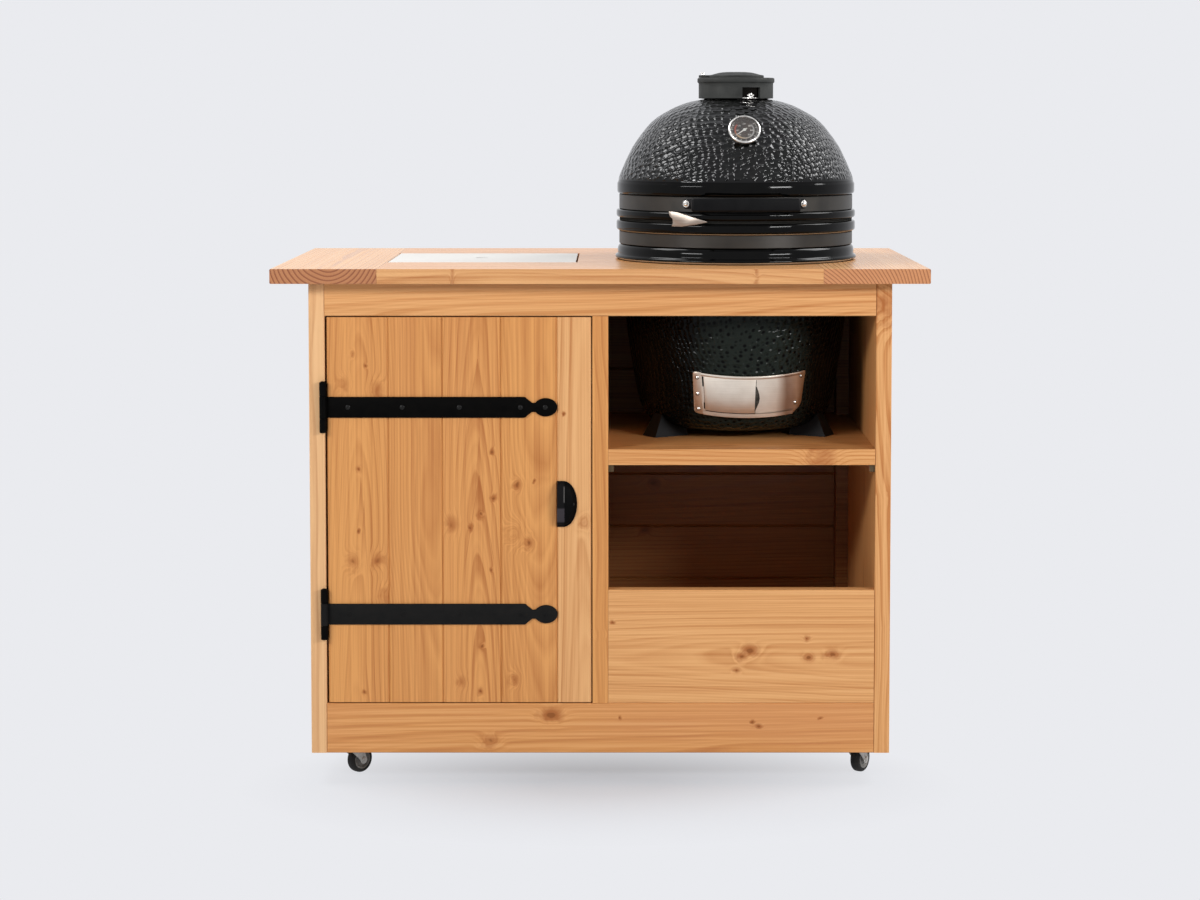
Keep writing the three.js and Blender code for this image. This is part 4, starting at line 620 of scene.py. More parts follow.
def dialFace():  # a dark face with a scale, drawn round the middle of its own UV map
    finish = Finish("dialFace", specular=0.3, roughness=0.5)
    u, v, w = finish.place.add("ShaderNodeUVMap", {"uv_map": "dial"}).axes()
    reach = (u * u + v * v) ** 0.5
    turned = (u.calc("ARCTAN2", u * -1.0, v * -1.0) / (2 * math.pi) + 0.5).rest()
    inScale = turned.between(0.13, 0.135, 0.865, 0.87)
    band = reach.between(0.60, 0.62, 0.70, 0.72)
    fine = (turned * 73.0).rest().below(0.26, 0.04) * reach.between(0.86, 0.87, 0.95, 0.96)
    coarse = (turned * 14.6).rest().below(0.12, 0.02) * reach.between(0.78, 0.79, 0.95, 0.96)
    zone = turned.ramp((0.0, tint(150, 150, 148)), (0.40, tint(176, 174, 168)), (0.62, tint(206, 170, 120)),
        (0.74, tint(176, 70, 44)), (1.0, tint(176, 70, 44)))
    face = finish.place.noise(90, 2).ramp((0.3, tint(46, 36, 28)), (0.7, tint(66, 52, 42)))
    colour = (band * inScale * 0.8).mix(face, zone)
    finish.feed("colour", (inScale * fine.most(coarse)).mix(colour, tint(214, 210, 200)))
    return finish.material


def glazeFinish(name, dimples, shine, grain=88, sharpness=3, rise=0.0075, lit=None):
    # black glaze, dimpled between two heights
    finish = Finish(name, specular=shine)
    x, y, z = finish.place.axes()
    drift = finish.place.noise(4.0, 1.0, 0.5, 1)
    warped = drift.vector("MULTIPLY_ADD", (0.085, 0.085, 0.085), finish.place)
    cell = warped.turned(0.10, 0.16, 0.4).stretched(1, 1, 1.12).cells(grain, 0.45, 0.32)
    ripple = finish.place.noise(55, 2)
    mask = z.above(dimples[0], 0.006) * z.below(dimples[1], 0.006)
    dark = cell.ramp((0.16, tint(1, 1, 1)), (0.44, tint(9, 10, 9)))
    if lit:  # painted light and reflection: the part of the base that light from the front reaches under the top, its dimples' rims painted lighter
        middle, half = lit
        off = (x - middle + (ripple - 0.5) * 0.03) / half
        reached = (1.0 - off * off * off * off).held() * 0.9
        dark = reached.mix(dark, cell.ramp((0.20, tint(2, 2, 2)), (0.42, tint(31, 36, 32))))
    colour = mask.mix(ripple.ramp((0.3, tint(1, 1, 1)), (0.8, tint(5, 5, 4))), dark)
    return finish.dressed(colour, 0.05 + ripple * 0.05,
        (cell ** sharpness * mask + ripple * 0.015).bump(rise, 1.0))


iron = blackIron("blackIron", 8)
# a lighter copy of the black iron, for the lower strap and its screws
lighterIron = blackIron("lighterIron", 30)
worn = mottled("polishedIron", (220, 4, 0.65), (0.35, tint(6, 6, 6)), (0.8, tint(34, 33, 31)),
    (0.22, 0.2, 40, 3), (0.00012, 0.5), metal=0.1, specular=0.2)
plastic = blackPlastic("blackPlastic", 12)
footPlastic = blackPlastic("footPlastic", 30)
steel = brushedSteel()
draftSheet = draftSteel()
# dark steel that paints shade round the rivet heads and a dark reflection in the slide's tongue
shadeSteel = mottled("paintedShadeSteel", (150, 3), (0.3, tint(44, 40, 36)), (0.75, tint(82, 77, 70)), (0.34, 0.2),
    (0.00008, 0.5), metal=0.6, specular=0.3)
# black that paints shade: in the vent's notch, in the draft door's gaps and along the slide's lines
shadeBlack = mottled("paintedShadeBlack", (420, 3), (0.3, tint(8, 7, 6)), (0.8, tint(24, 21, 18)), (0.8, 0.15),
    specular=0.1)
pullIronHighlighted = pullIronAndHighlight()
bands = mottled("bandSteel", (18, 3), (0.3, tint(34, 32, 29)), (0.8, tint(50, 47, 42)), (0.34, 0.16),
    (0.0001, 0.5, 1200, 2), metal=0.35, specular=0.45)
cast = mottled("castIron", (30, 3), (0.3, tint(39, 40, 39)), (0.8, tint(60, 61, 59)),
    (0.52, 0.2, 520, 4, 0.65), (0.0004, 0.7, 520, 4, 0.65), metal=0.1, specular=0.22)
rubber = mottled("wheelRubber", (60, 3), (0.35, tint(20, 20, 20)), (0.8, tint(48, 46, 43)), (0.62, 0.2),
    (0.00015, 0.5, 700, 3), specular=0.3)
felt = mottled("gasketFelt", (900, 3, 0.7), (0.3, tint(22, 22, 21)), (0.8, tint(58, 57, 54)), None,
    (0.0008, 0.8), specular=0.1, roughness=0.95)
clay = mottled("fireClay", (9, 3), (0.3, tint(186, 170, 146)), (0.75, tint(150, 132, 108)),
    (0.86, 0.1, 320, 4, 0.6), (0.0006, 0.7, 320, 4, 0.6), specular=0.2)
white = mottled("whitePaint", (900, 2), (0.2, tint(214, 210, 202)), (0.8, tint(236, 233, 226)), (0.4, 0.1),
    specular=0.4)
bright = mottled("brightSteel", (160, 3), (0.3, tint(196, 192, 186)), (0.75, tint(232, 230, 226)),
    (0.16, 0.14), (0.00005, 0.4, 900, 2), metal=1.0)
core = mottled("wheelCore", (80, 3), (0.3, tint(112, 110, 106)), (0.8, tint(150, 147, 142)), (0.45, 0.2),
    (0.0001, 0.5, 800, 2), specular=0.4)
glass = mottled("lensGlass", (60, 2), (0.3, (0.96, 0.97, 0.97, 1)), (0.7, (1, 1, 1, 1)), (0.01, 0.02),
    transmission=1.0, ior=1.45, specular=0.5)
zinc = zincSteel()
dial = dialFace()

carried = {"inlay_plate": plateWhite(), "magnet_catch": plastic, "kamado_foot_1": footPlastic,
    "kamado_foot_2": footPlastic, "kamado_foot_3": footPlastic, "dome_hinge_bracket": bands}
for node, material in carried.items():
    dress(node, material, 0.4)
dress("fire_box", clay)
dress("charcoal_grate", cast)
print("finishes done")

kamado = {"x": 261, "y": -15, "top": 957, "turn": 2.3}
kamadoPlace = shift(kamado["x"], kamado["y"], kamado["top"]) @ turn(kamado["turn"], "Z")


def grillPiece(name, shape, body, finish, replaced=None, smoothAngle=30):
    return addPiece(name, shape, body, finish, replaced, smoothAngle, kamadoPlace)


def withLevels(profile, *levels):  # adds a point to a line of radius and height wherever it crosses a level
    line = [profile[0]]
    for (r0, z0), (r1, z1) in zip(profile, profile[1:]):
        crossed = [z for z in levels if min(z0, z1) + 0.01 < z < max(z0, z1) - 0.01]
        for z in sorted(crossed, key=lambda z: abs(z - z0)):
            line.append((r0 + (r1 - r0) * (z - z0) / (z1 - z0), z))
        line.append((r1, z1))
    return line


def windowFaces(shape, middle, half, low, high, inner):
    # walls of a turned shape between angles from the front
    found = []
    for face in shape.faces:
        x, y, z = [v * 1000 for v in face.calc_center_median()]
        angle = math.degrees(math.atan2(x, -y))
        if abs(angle - middle) < half and low < z < high and math.hypot(x, y) > inner:
            found.append(face)
    return found


def glazedWhere(piece, low, high, finish, core):
    # no dimples outside these heights, no glaze inside the shell
    piece.data.materials.append(finish)
    piece.data.materials.append(clay)
    for wall in piece.data.polygons:
        out = wall.center - Vector((kamado["x"], kamado["y"], core)) / 1000
        wall.material_index = 2 if out.dot(wall.normal) < 0 else 0 if low < wall.center.z < high else 1


baseShape = {
    "radius": 226, "depth": 322, "wall": 26, "floor": 30, "dimples": (0.60, 0.953), "core": 780,
    "shares": [(0.53, 1), (0.66, 0.984), (0.762, 0.938), (0.82, 0.86), (0.858, 0.739), (0.905, 0.54),
        (0.942, 0.356), (0.975, 0.17), (0.993, 0.01)],
    "tunnelLow": -273, "tunnelHigh": -217, "tunnelMiddle": -6.85, "tunnelHalf": 11.3,
}


def ceramicBase():
    look = baseShape
    outside = curvePoints([(look["radius"] * r, -look["depth"] * z) for r, z in look["shares"]], 3)
    depth = look["depth"] - look["floor"]
    radius = look["radius"] - look["wall"]
    inside = curvePoints([(radius * r, -depth * z) for r, z in look["shares"]], 2)[::-1]
    profile = [(0, -look["depth"]), *outside, (225.6, 0.6), (231, 2.6), (233.2, 4.2), (233.5, 6),
        (233.2, 7.8), (231.5, 9.6), (229, 11.2), (228.6, 14), (228.8, 19), (227.5, 25), (224.6, 29),
        (222.2, 30.7), (222, 55.3), (226, 56.2), (229, 57.4), (230.6, 59.2), (231, 61.5), (231, 71.5),
        (230.4, 74), (229, 75.6), (227, 76.05), (205, 76.05), *inside, (0, -depth)]
    shape = turnedShape(withLevels(profile, look["tunnelLow"], look["tunnelHigh"]), 144)
    window = windowFaces(shape, look["tunnelMiddle"], look["tunnelHalf"], look["tunnelLow"],
        look["tunnelHigh"], 100)
    bmesh.ops.delete(shape, geom=window, context="FACES")
    bmesh.ops.bridge_loops(shape, edges=[e for e in shape.edges if e.is_boundary])
    return shape


baseGlaze = glazeFinish("glazeBase", baseShape["dimples"], 0.07, 104, 2, 0.0040, (0.283, 0.118))
beadGlaze = glazeFinish("glazeBeads", baseShape["dimples"], 0.12)
basePiece = grillPiece("kamadoBase", ceramicBase(), "cabinet", baseGlaze, "ceramic_base", 50)
glazedWhere(basePiece, 0, 0.953, beadGlaze, baseShape["core"])

domeShape = {
    "radius": 229, "bead": 150, "top": 308, "wall": 22, "chimney": 48, "dimples": (1.112, 1.268),
    "core": 1060,
    "shares": [(0.992, 0.012), (0.978, 0.09), (0.911, 0.31), (0.843, 0.487), (0.705, 0.735), (0.541, 0.886),
        (0.42, 0.958), (0.33, 0.99)],
}


def ceramicDome():
    look = domeShape
    rise = look["top"] - look["bead"]
    outside = curvePoints([(look["radius"] * r, look["bead"] + rise * z) for r, z in look["shares"]], 4)
    radius = look["radius"] - look["wall"]
    innerRise = rise - look["wall"]
    inside = curvePoints([(radius * r, look["bead"] + innerRise * z) for r, z in look["shares"]], 2)
    inside = [p for p in inside if p[0] > look["chimney"] + 4][::-1]
    profile = [(205, 81.95), (227, 81.95), (229, 82.4), (230.4, 84), (231, 86.5), (231, 92.5), (230.4, 95),
        (229, 96.4), (227, 97), (222, 97.7), (222, 126.3), (225, 127), (227.6, 128.2), (229, 130),
        (229.5, 132.5), (229.5, 145.5), (228.9, 148.2), (227.6, 150), *outside[1:], (65, 308), (62, 308.4),
        (61, 310), (61, 326), (48, 326), (48, 286), *inside, (205, 81.95)]
    return turnedShape(profile, 144)


domeGlaze = glazeFinish("glazeDome", domeShape["dimples"], 0.27)
collarGlaze = glazeFinish("glazeCollar", domeShape["dimples"], 0.12)
domePiece = grillPiece("kamadoDome", ceramicDome(), "lid", domeGlaze, "ceramic_dome", 50)
glazedWhere(domePiece, 1.109, 1.268, collarGlaze, domeShape["core"])


def bandRing(bottom, top, inner=222.3, outer=225.5, lip=0.8):
    return turnedShape([(inner, bottom), (outer - lip, bottom), (outer, bottom + lip), (outer, top - lip),
        (outer - lip, top), (inner, top), (inner, bottom)], 144)


grillPiece("baseBand", bandRing(31, 55), "cabinet", bands, "base_band", 35)
grillPiece("domeBand", bandRing(98, 126), "lid", bands, "dome_band", 35)
grillPiece("baseGasket", bandRing(76.35, 78.75, 205, 225, 0.7), "cabinet", felt, "base_gasket",
    35)
grillPiece("domeGasket", bandRing(79.25, 81.65, 205, 225, 0.7), "lid", felt, "dome_gasket", 35)
print("kamado done")

vent = {"notchMiddle": 20.5, "notchHalf": 15.5, "notchTop": 331, "boltX": -64}


def ventCap():
    middle, half, top = vent["notchMiddle"], vent["notchHalf"], vent["notchTop"]
    profile = [(45, 326.3), (49.2, 326.3), (50, 327.1), (50, 344), (51, 344.7), (66, 344.7), (67, 343.7),
        (67, top), (67, 310.6), (67.6, 310), (71.4, 310), (72, 310.6), (72, top), (72, 338.4), (72.6, 339.8),
        (74, 340.7), (74.5, 341.6), (74.5, 346.9), (74, 348.6), (72.6, 349.5), (70.8, 349.7), (47, 349.7),
        (45.5, 349.1), (45, 348), (45, 326.3)]
    shape = turnedShape(profile, 144)
    bmesh.ops.delete(shape, geom=windowFaces(shape, middle, half, 0, top, 60), context="FACES")
    rim = [e for e in shape.edges if e.is_boundary]
    outer = {}
    wall = {}
    for point in [v for e in rim for v in e.verts]:
        key = (round(math.degrees(math.atan2(point.co.x, -point.co.y)) * 4), round(point.co.z * 2000))
        (outer if point.co.xy.length > 0.0695 else wall)[key] = point
    for edge in rim:  # joins the two walls round the notch
        keys = [k for v in edge.verts for k in outer if outer[k] is v]
        if len(keys) == 2 and all(k in wall for k in keys):
            shape.faces.new((outer[keys[0]], outer[keys[1]], wall[keys[1]], wall[keys[0]]))
    return shape


def ventScrews():  # the pivot bolt, and the screw that draws the neck clamp together
    pivot = turnedShape([(0, 344), (2.6, 344), (2.6, 355.4), (4.4, 355.4), (4.4, 358), (3.6, 359.6),
        (2, 360.2), (1.6, 359.2), (0, 359.2)], 24)
    notch = turn(vent["notchMiddle"], "Z")
    screw = moved(rodShape(1.6, 15, 20, 0.4), notch @ shift(-8, -65.3, 316) @ turn(90, "Y"))
    head = moved(domedHead(3.8, 3.4), notch @ shift(-1, -66.5, 317.5) @ turn(90, "X"))
    return merged(moved(pivot, shift(vent["boltX"], 0, 0)), screw, head)


def neckSleeve():  # the clamp's band, painted black for the shade behind the notch
    return turnedShape([(61.3, 312.5), (61.7, 311.9), (63, 311.9), (63.5, 312.6), (63.5, 323), (63, 323.5),
        (63, 344.5), (61.3, 344.5), (61.3, 312.5)], 96)


def neckRoll():  # the clamp's bright rolled foot with its lug
    lug = softened(blockShape((-5.5, -68, 311.5), (4.5, -63, 316.5)), 0.8)
    return merged(tubeShape(ringPath(65.5, 310.6, 120, -90), 1.3, 12, True),
        moved(lug, turn(vent["notchMiddle"], "Z")))


damper = {"earX": -64, "earRadius": 8, "bottom": 350}


def damperDisc():
    x, radius, bottom = damper["earX"], damper["earRadius"], damper["bottom"]
    disc = turnedShape([(0, bottom), (53.2, bottom), (54, 350.8), (54, 353.2), (53.4, 354.4), (51.6, 355),
        (47, 355.6), (40, 357.6), (33, 359.4), (26, 360.4), (18, 360.9), (10, 361), (0, 361)], 96)
    ear = blockShape((x, -radius, bottom), (-30, radius, bottom + 4.9), 0.6)
    return merged(disc, ear, moved(rodShape(radius, 4.9, 40, 0.6), shift(x, 0, bottom)))


grillPiece("ventCap", ventCap(), "lid", cast, "vent_housing")
grillPiece("neckSleeve", neckSleeve(), "lid", shadeBlack)
grillPiece("neckRoll", neckRoll(), "lid", bright)
grillPiece("ventScrews", ventScrews(), "lid", bright)
grillPiece("damperCrown", damperDisc(), "damper", cast, "damper_disc")
print("vent done")

thermo = {"dialRadius": 26.5, "dialHeight": 5.5, "needleHeight": 6.2, "needleAngle": 215,
    "figureReach": 0.0135, "figureHeight": 0.0057, "figureSize": 0.0042}
thermoPlace = kamadoPlace @ shift(0, -180.4, 247.2) @ turn(57, "X")


def thermoPiece(name, shape, body, finish, replaced=None):
    addPiece(name, shape, body, finish, replaced, 30, thermoPlace)


def thermoCase():
    return turnedShape([(0, -58), (3.4, -58), (4, -57.2), (4, 0), (26.4, 0), (28.4, 0.7), (30, 2.4),
        (30.6, 4.6), (30.8, 7), (30.4, 9), (29.4, 10.3), (28.2, 10.8), (27.3, 10.4), (26.8, 9.4), (26.6, 5),
        (0, 5)], 96)


def dialDisc():  # its UV map runs from -1 to 1 across the dial
    shape = bmesh.new()
    radius = thermo["dialRadius"] / 1000
    bmesh.ops.create_circle(shape, cap_ends=True, segments=96, radius=radius)
    moved(shape, shift(0, 0, thermo["dialHeight"]))
    layer = shape.loops.layers.uv.new("dial")
    for loop in [loop for face in shape.faces for loop in face.loops]:
        loop[layer].uv = loop.vert.co.xy / radius
    return shape


def needleShape():
    blade = flatShape([(-6, -1.1), (0, -1.5), (21, -0.25), (21, 0.25), (0, 1.5), (-6, 1.1)], 0.7)
    softened(blade, 0.15, 1)
    moved(blade, turn(thermo["needleAngle"], "Z") @ shift(0, 0, thermo["needleHeight"]) @ turn(-90, "X"))
    return merged(blade, moved(rodShape(3, 1.3, 32, 0.4), shift(0, 0, thermo["needleHeight"] - 0.1)))


def dialNumerals():  # raised figures round the scale
    shape = bmesh.new()
    for k, text in enumerate(("50", "100", "150", "200", "250", "300", "350")):
        curve = bpy.data.curves.new("numeral", "FONT")
        curve.body = text
        curve.size = thermo["figureSize"]
        curve.extrude = 0.00004
        curve.align_x = curve.align_y = "CENTER"
        holder = bpy.data.objects.new("numeral", curve)
        mesh = bpy.data.meshes.new_from_object(holder)
        angle = math.radians(-140 + 280 * k / 6)
        reach = thermo["figureReach"]
        mesh.transform(Matrix.Translation((reach * math.sin(angle), reach * math.cos(angle),
            thermo["figureHeight"])))
        shape.from_mesh(mesh)
        bpy.data.objects.remove(holder)
        bpy.data.curves.remove(curve)
        bpy.data.meshes.remove(mesh)
    return shape


lens = turnedShape([(0, 8.6), (20, 8.6), (26.6, 8.6), (26.6, 9.3), (22, 9.8), (14, 10.2), (7, 10.4),
    (0, 10.5)], 64)
thermoPiece("thermoCase", thermoCase(), "lid", bright, "thermometer_case")
thermoPiece("thermoDial", dialDisc(), "lid", dial)
thermoPiece("thermoNumerals", dialNumerals(), "lid", white)
thermoPiece("thermoNeedle", needleShape(), "needle", white, "thermometer_needle")
thermoPiece("thermoLens", lens, "lid", glass)
print("thermometer done")

handle = {"left": -104.5, "right": 97, "low": 101, "high": 126, "front": -272.8, "back": -253, "boltX": 110,
    "boltReach": 229.8, "z": 113.5}


def handleBar():
    look = handle
    bar = blockShape((look["left"], look["front"], look["low"]), (look["right"], look["back"], look["high"]),
        4.5, 5)
    feet = []
    for side in (-1, 1):
        foot = barShape([(-0.1, 104.5), (-4, 104.5), (-4, 122.5), (-0.1, 122.5)], 84, 116.5, 0.7,
            range(87, 117, 3))
        foot = bentShape(foot, 225.8, lambda z: 225.8)
        arm = blockShape((84, -256, 104.5), (88, -210.5, 122.5), 0.8)
        feet += [moved(part, Matrix.Scale(side, 4, (1, 0, 0))) for part in (foot, arm)]
    return merged(bar, *feet)


def handleBolts():
    x, reach = handle["boltX"], handle["boltReach"]
    angle = math.degrees(math.asin(x / reach))
    bolts = []
    for side, head in ((-1, domedHead(5, 3.6, 2.2)), (1, domedHead(5.4, 3.8))):
        washer = turnedShape([(0, 0), (6.5, 0), (6.5, 0.9), (6.1, 1.3), (0, 1.3)], 40)
        place = shift(side * x, -math.sqrt(reach * reach - x * x), handle["z"]) @ turn(side * angle, "Z")
        bolts.append(moved(merged(washer, moved(head, shift(0, 0, 1.2))), place @ turn(90, "X")))
    return merged(*bolts)


tab = {
    "length": 82, "height": 28.5, "bottom": 71, "thickness": 2.5, "angle": -28.3, "back": -231.3,
    "shares": [(0.02, 0.97), (0.09, 0.985), (0.25, 0.93), (0.62, 0.62), (0.985, 0.345), (0.985, 0.32),
        (0.68, 0.14), (0.353, 0.0), (0.1, 0.01), (0.13, 0.25), (0.12, 0.5), (0.05, 0.68)],
}


def lidTab():
    look = tab
    points = [(x * look["length"] - 37, look["bottom"] + z * look["height"]) for x, z in look["shares"]]
    leaf = moved(flatShape(points, look["thickness"], 0.5), shift(0, look["back"], 0))
    roll = tubeShape([(-35, -232.8, 98.6), (-17, -232.9, 97), (13, -232.9, 88.4), (43, -232.8, 80.6)], 0.9,
        10)
    return moved(merged(leaf, roll), turn(look["angle"], "Z"))


grillPiece("handleBar", handleBar(), "lid", plastic, "lid_handle")
grillPiece("handleBolts", handleBolts(), "lid", bright)
grillPiece("lidTab", lidTab(), "lid", steel, "lid_tab")
print("handle done")

draft = {
    "low": -285, "high": -205, "lowRadius": 185.7, "highRadius": 200.7, "middle": 193.2, "plate": 1.5,
    "from": -29, "to": 36, "flange": -23.2, "railTo": 33.4, "slideFrom": -22, "slideTo": 6.4, "slideOut": 1.9,
    "slideThick": 1.5, "lean": 10.6, "travel": 24, "sweepMiddle": 3.5, "sweepHalf": 32.5, "sweepRise": 8.5,
    "sweepDrop": 4.5,
}
degreeRun = math.radians(1) * draft["middle"]  # the way round that one degree makes


def draftRadius(z):
    look = draft
    share = (z - look["low"]) / (look["high"] - look["low"])
    return look["lowRadius"] + (look["highRadius"] - look["lowRadius"]) * share


def draftRise(angle):  # a flat sheet bent round the taper stands higher at its ends
    look = draft
    ends = 1 - math.cos(math.radians(look["sweepHalf"]))
    share = (1 - math.cos(math.radians(angle - look["sweepMiddle"]))) / ends
    return look["sweepRise"] * share - look["sweepDrop"]


def bentSheet(shape):
    for point in shape.verts:
        point.co.z += draftRise(point.co.x * 1000 / degreeRun) / 1000
    return bentShape(shape, draft["middle"], draftRadius)


def degreeSlices(start, end):
    return [k * degreeRun for k in range(math.ceil(start), math.floor(end) + 1, 2)]


def draftFrame():
    look = draft
    left, right = look["from"] * degreeRun, look["to"] * degreeRun
    corners = [(left, -285), (right - 19, -285), (right - 1, -272), (right, -205), (left + 3, -205)]
    window = (-19.2 * degreeRun, 5.5 * degreeRun, -276, -210)
    sheet = flatShape(roundedOutline(corners, [7, 4, 8, 6, 6]), look["plate"], 0.35, window,
        degreeSlices(look["from"], look["to"]))
    slices = degreeSlices(look["flange"], look["railTo"])
    ends = look["flange"] * degreeRun, look["railTo"] * degreeRun
    hook = [(-0.8, -204.9), (-3.2, -204.7), (-4.9, -205.6), (-5.4, -207.4), (-5.1, -209.4), (-4.3, -210.9),
        (-3.9, -210.9), (-3.9, -206.6), (-3.4, -206), (-0.8, -206)]
    roll = barShape(hook, *ends, 0, slices)
    foot = [(-1.3, -285), (-4.3, -285), (-4.9, -284.4), (-4.9, -277.8), (-4.4, -277.3), (-3.9, -277.8),
        (-3.9, -283.8), (-1.3, -283.8)]
    lip = barShape(foot, ends[0], ends[1] - 12, 0, slices)
    flange = moved(flatShape(roundedOutline([(left + 1, -284), (ends[0] - 1, -284), (ends[0] - 1, -206),
        (left + 3.6, -206)], [6, 1, 1, 6]), 0.7, 0.2), shift(0, -1.5, 0))
    return bentSheet(merged(sheet, roll, lip, flange))


def onDraft(angle, z, out):  # lays a head that is modelled on Z against the sheet
    radius = draftRadius(z) + out
    way = math.radians(angle)
    place = shift(radius * math.sin(way), -radius * math.cos(way), z + draftRise(angle))
    return place @ turn(angle, "Z") @ turn(-draft["lean"], "X") @ turn(90, "X")


rivets = ((-26.2, -275, 2.15), (-26.1, -246, 2.15), (-25.8, -215, 2.15), (33.4, -214, 1.45),
    (31.6, -264, 1.45))


def onRivets(profile):
    return merged(*[moved(turnedShape(profile, 24), onDraft(*place)) for place in rivets])


def draftGapShade():  # painted shade: dark strips in the gaps between flange and slide
    slots = []
    right = draft["slideFrom"] * degreeRun - 0.3
    for low, high, wide in ((-231, -212, 3.2), (-274, -262, 2.4), (-262, -231, 0.8)):
        gap = flatShape([(right - wide, low), (right, low), (right, high), (right - wide, high)], 0.2)
        slots.append(moved(gap, shift(0, -1.5, 0)))
    return bentSheet(merged(*slots))


def draftSlide():  # its edges clear both rails wherever it stands, though the rails are swept
    look = draft
    count = 14
    angles = [look["slideFrom"] + (look["slideTo"] - look["slideFrom"]) * k / count for k in range(count + 1)]
    lifts = [[draftRise(angle) - draftRise(angle + turned) for turned in range(0, look["travel"] + 1, 2)]
        for angle in angles]
    top = [(angle * degreeRun, min(-208.4, -206.5 - max(lift))) for angle, lift in zip(angles, lifts)]
    foot = [(angle * degreeRun, max(-282, -283.3 - min(lift))) for angle, lift in zip(angles, lifts)]
    sheet = flatShape(foot + top[::-1], look["slideThick"], 0.3, None,
        degreeSlices(look["slideFrom"], look["slideTo"]))
    return bentSheet(moved(sheet, shift(0, -look["slideOut"], 0)))


def slideShadeLines():  # painted shade: a dark line where the slide runs in the lip, and one down the slide's right end
    look = draft
    left, right = look["slideFrom"] * degreeRun + 1, look["slideTo"] * degreeRun
    line = flatShape([(left, -277.6), (right, -277.6), (right, -276.2), (left, -276.2)], 0.12, 0, None,
        degreeSlices(look["slideFrom"] + 1, look["slideTo"]))
    edge = flatShape([(right - 0.2, -277), (right + 0.5, -277), (right + 0.5, -212), (right - 0.2, -212)],
        0.3)
    return bentSheet(moved(merged(line, edge), shift(0, -look["slideOut"] - look["slideThick"] - 0.02, 0)))


def slidePull():  # a tongue cut free and bent out of the slide's end, painted dark for its dark reflection
    right = draft["slideTo"] * degreeRun
    half = [(2.2, -226), (5.2, -233), (7.6, -241), (8.6, -248), (7.4, -256), (4.4, -264), (1.4, -270.5)]
    leaf = flatShape([(0, -224)] + half + [(0, -272)], 1.1, 0.2)
    moved(leaf, shift(right - 0.4, -draft["slideOut"] - 0.6, 0) @ turn(-24, "Z"))
    return bentSheet(leaf)


rivetHeads = onRivets([(0, 0), (3.4, 0), (3.6, 0.5), (3.1, 1.3), (2, 1.9), (0, 2.1)])
# painted shade: dark rings round the rivet heads
rivetShade = onRivets([(0, -0.4), (4.5, -0.4), (4.5, 0.1), (4.1, 0.35), (0, 0.35)])
grillPiece("draftFrame", draftFrame(), "cabinet", draftSheet, "draft_frame", 25)
grillPiece("draftRivets", rivetHeads, "cabinet", bright)
grillPiece("rivetShadeRings", rivetShade, "cabinet", shadeSteel)
grillPiece("draftGapShade", draftGapShade(), "cabinet", shadeBlack)
grillPiece("draftSlide", draftSlide(), "draft_door", draftSheet, "draft_slide", 25)
grillPiece("slideShadeLines", slideShadeLines(), "draft_door", shadeBlack, None, 25)
grillPiece("slidePull", slidePull(), "draft_door", shadeSteel, None, 25)
print("draft door done")

inner = {"ring": 178, "ringWall": 22, "ringLow": -94.7, "ringHigh": 42, "grateRadius": 171, "rimWire": 4,
    "barWire": 2.6, "barPitch": 23, "grateZ": 46.3}


def fireRing():
    look = inner
    low, high, out = look["ringLow"], look["ringHigh"], look["ring"]
    hole = out - look["ringWall"]
    return turnedShape([(hole, low + 1), (hole + 1, low), (out - 1, low), (out, low + 1), (out, high - 2),
        (out - 2, high), (hole + 2, high), (hole, high - 2), (hole, low + 1)], 96)


def cookingGrate():
    radius, z = inner["grateRadius"], inner["grateZ"]
    bars = []
    for x in [k * inner["barPitch"] for k in range(-7, 8)]:
        reach = math.sqrt(radius ** 2 - x * x)
        bars.append(moved(rodShape(inner["barWire"], 2 * reach, 12), shift(x, reach, z) @ turn(90, "X")))
    return merged(tubeShape(ringPath(radius, z, 96, 0), inner["rimWire"], 12, True), *bars)


grillPiece("fireRing", fireRing(), "cabinet", clay, "fire_ring")
grillPiece("cookingGrate", cookingGrate(), "cabinet", bright, "cooking_grate", 40)

hinge = {"setback": 262, "height": 84, "pin": 5, "pinHalf": 69.4, "earOffset": 52, "ear": 5, "wire": 1.5,
    "coil": 9, "turns": 5, "springStart": 49.5, "springLength": 40, "band": 225.8, "plate": 3.5}


def hingePin():
    end = hinge["pinHalf"]
    rod = moved(rodShape(hinge["pin"], 2 * end, 32, 0.6), shift(-end, 0, 0) @ turn(90, "Y"))
    heads = [moved(domedHead(7, 2), shift(side * (end - 2), 0, 0) @ turn(side * 90, "Y")) for side in (-1, 1)]
    return moved(merged(rod, *heads), shift(0, hinge["setback"], hinge["height"]))


def hingeSprings():
    look = hinge
    y, z, coil, length = look["setback"], look["height"], look["coil"], look["springLength"]
    lead = 2 * look["wire"]
    pitch = (length - 2 * lead) / look["turns"]
    wires = []
    for side in (-1, 1):
        start = side * look["springStart"]
        path = [(start, y + coil, z)]
        for t in [k / 24 for k in range(look["turns"] * 24 + 1)]:
            angle = 2 * math.pi * t
            path.append((start - side * (lead + t * pitch), y + coil * math.cos(angle),
                z + coil * math.sin(angle)))
        path.append((start - side * length, y + coil, z))
        wires.append(tubeShape(path, look["wire"], 10))
    return merged(*wires)


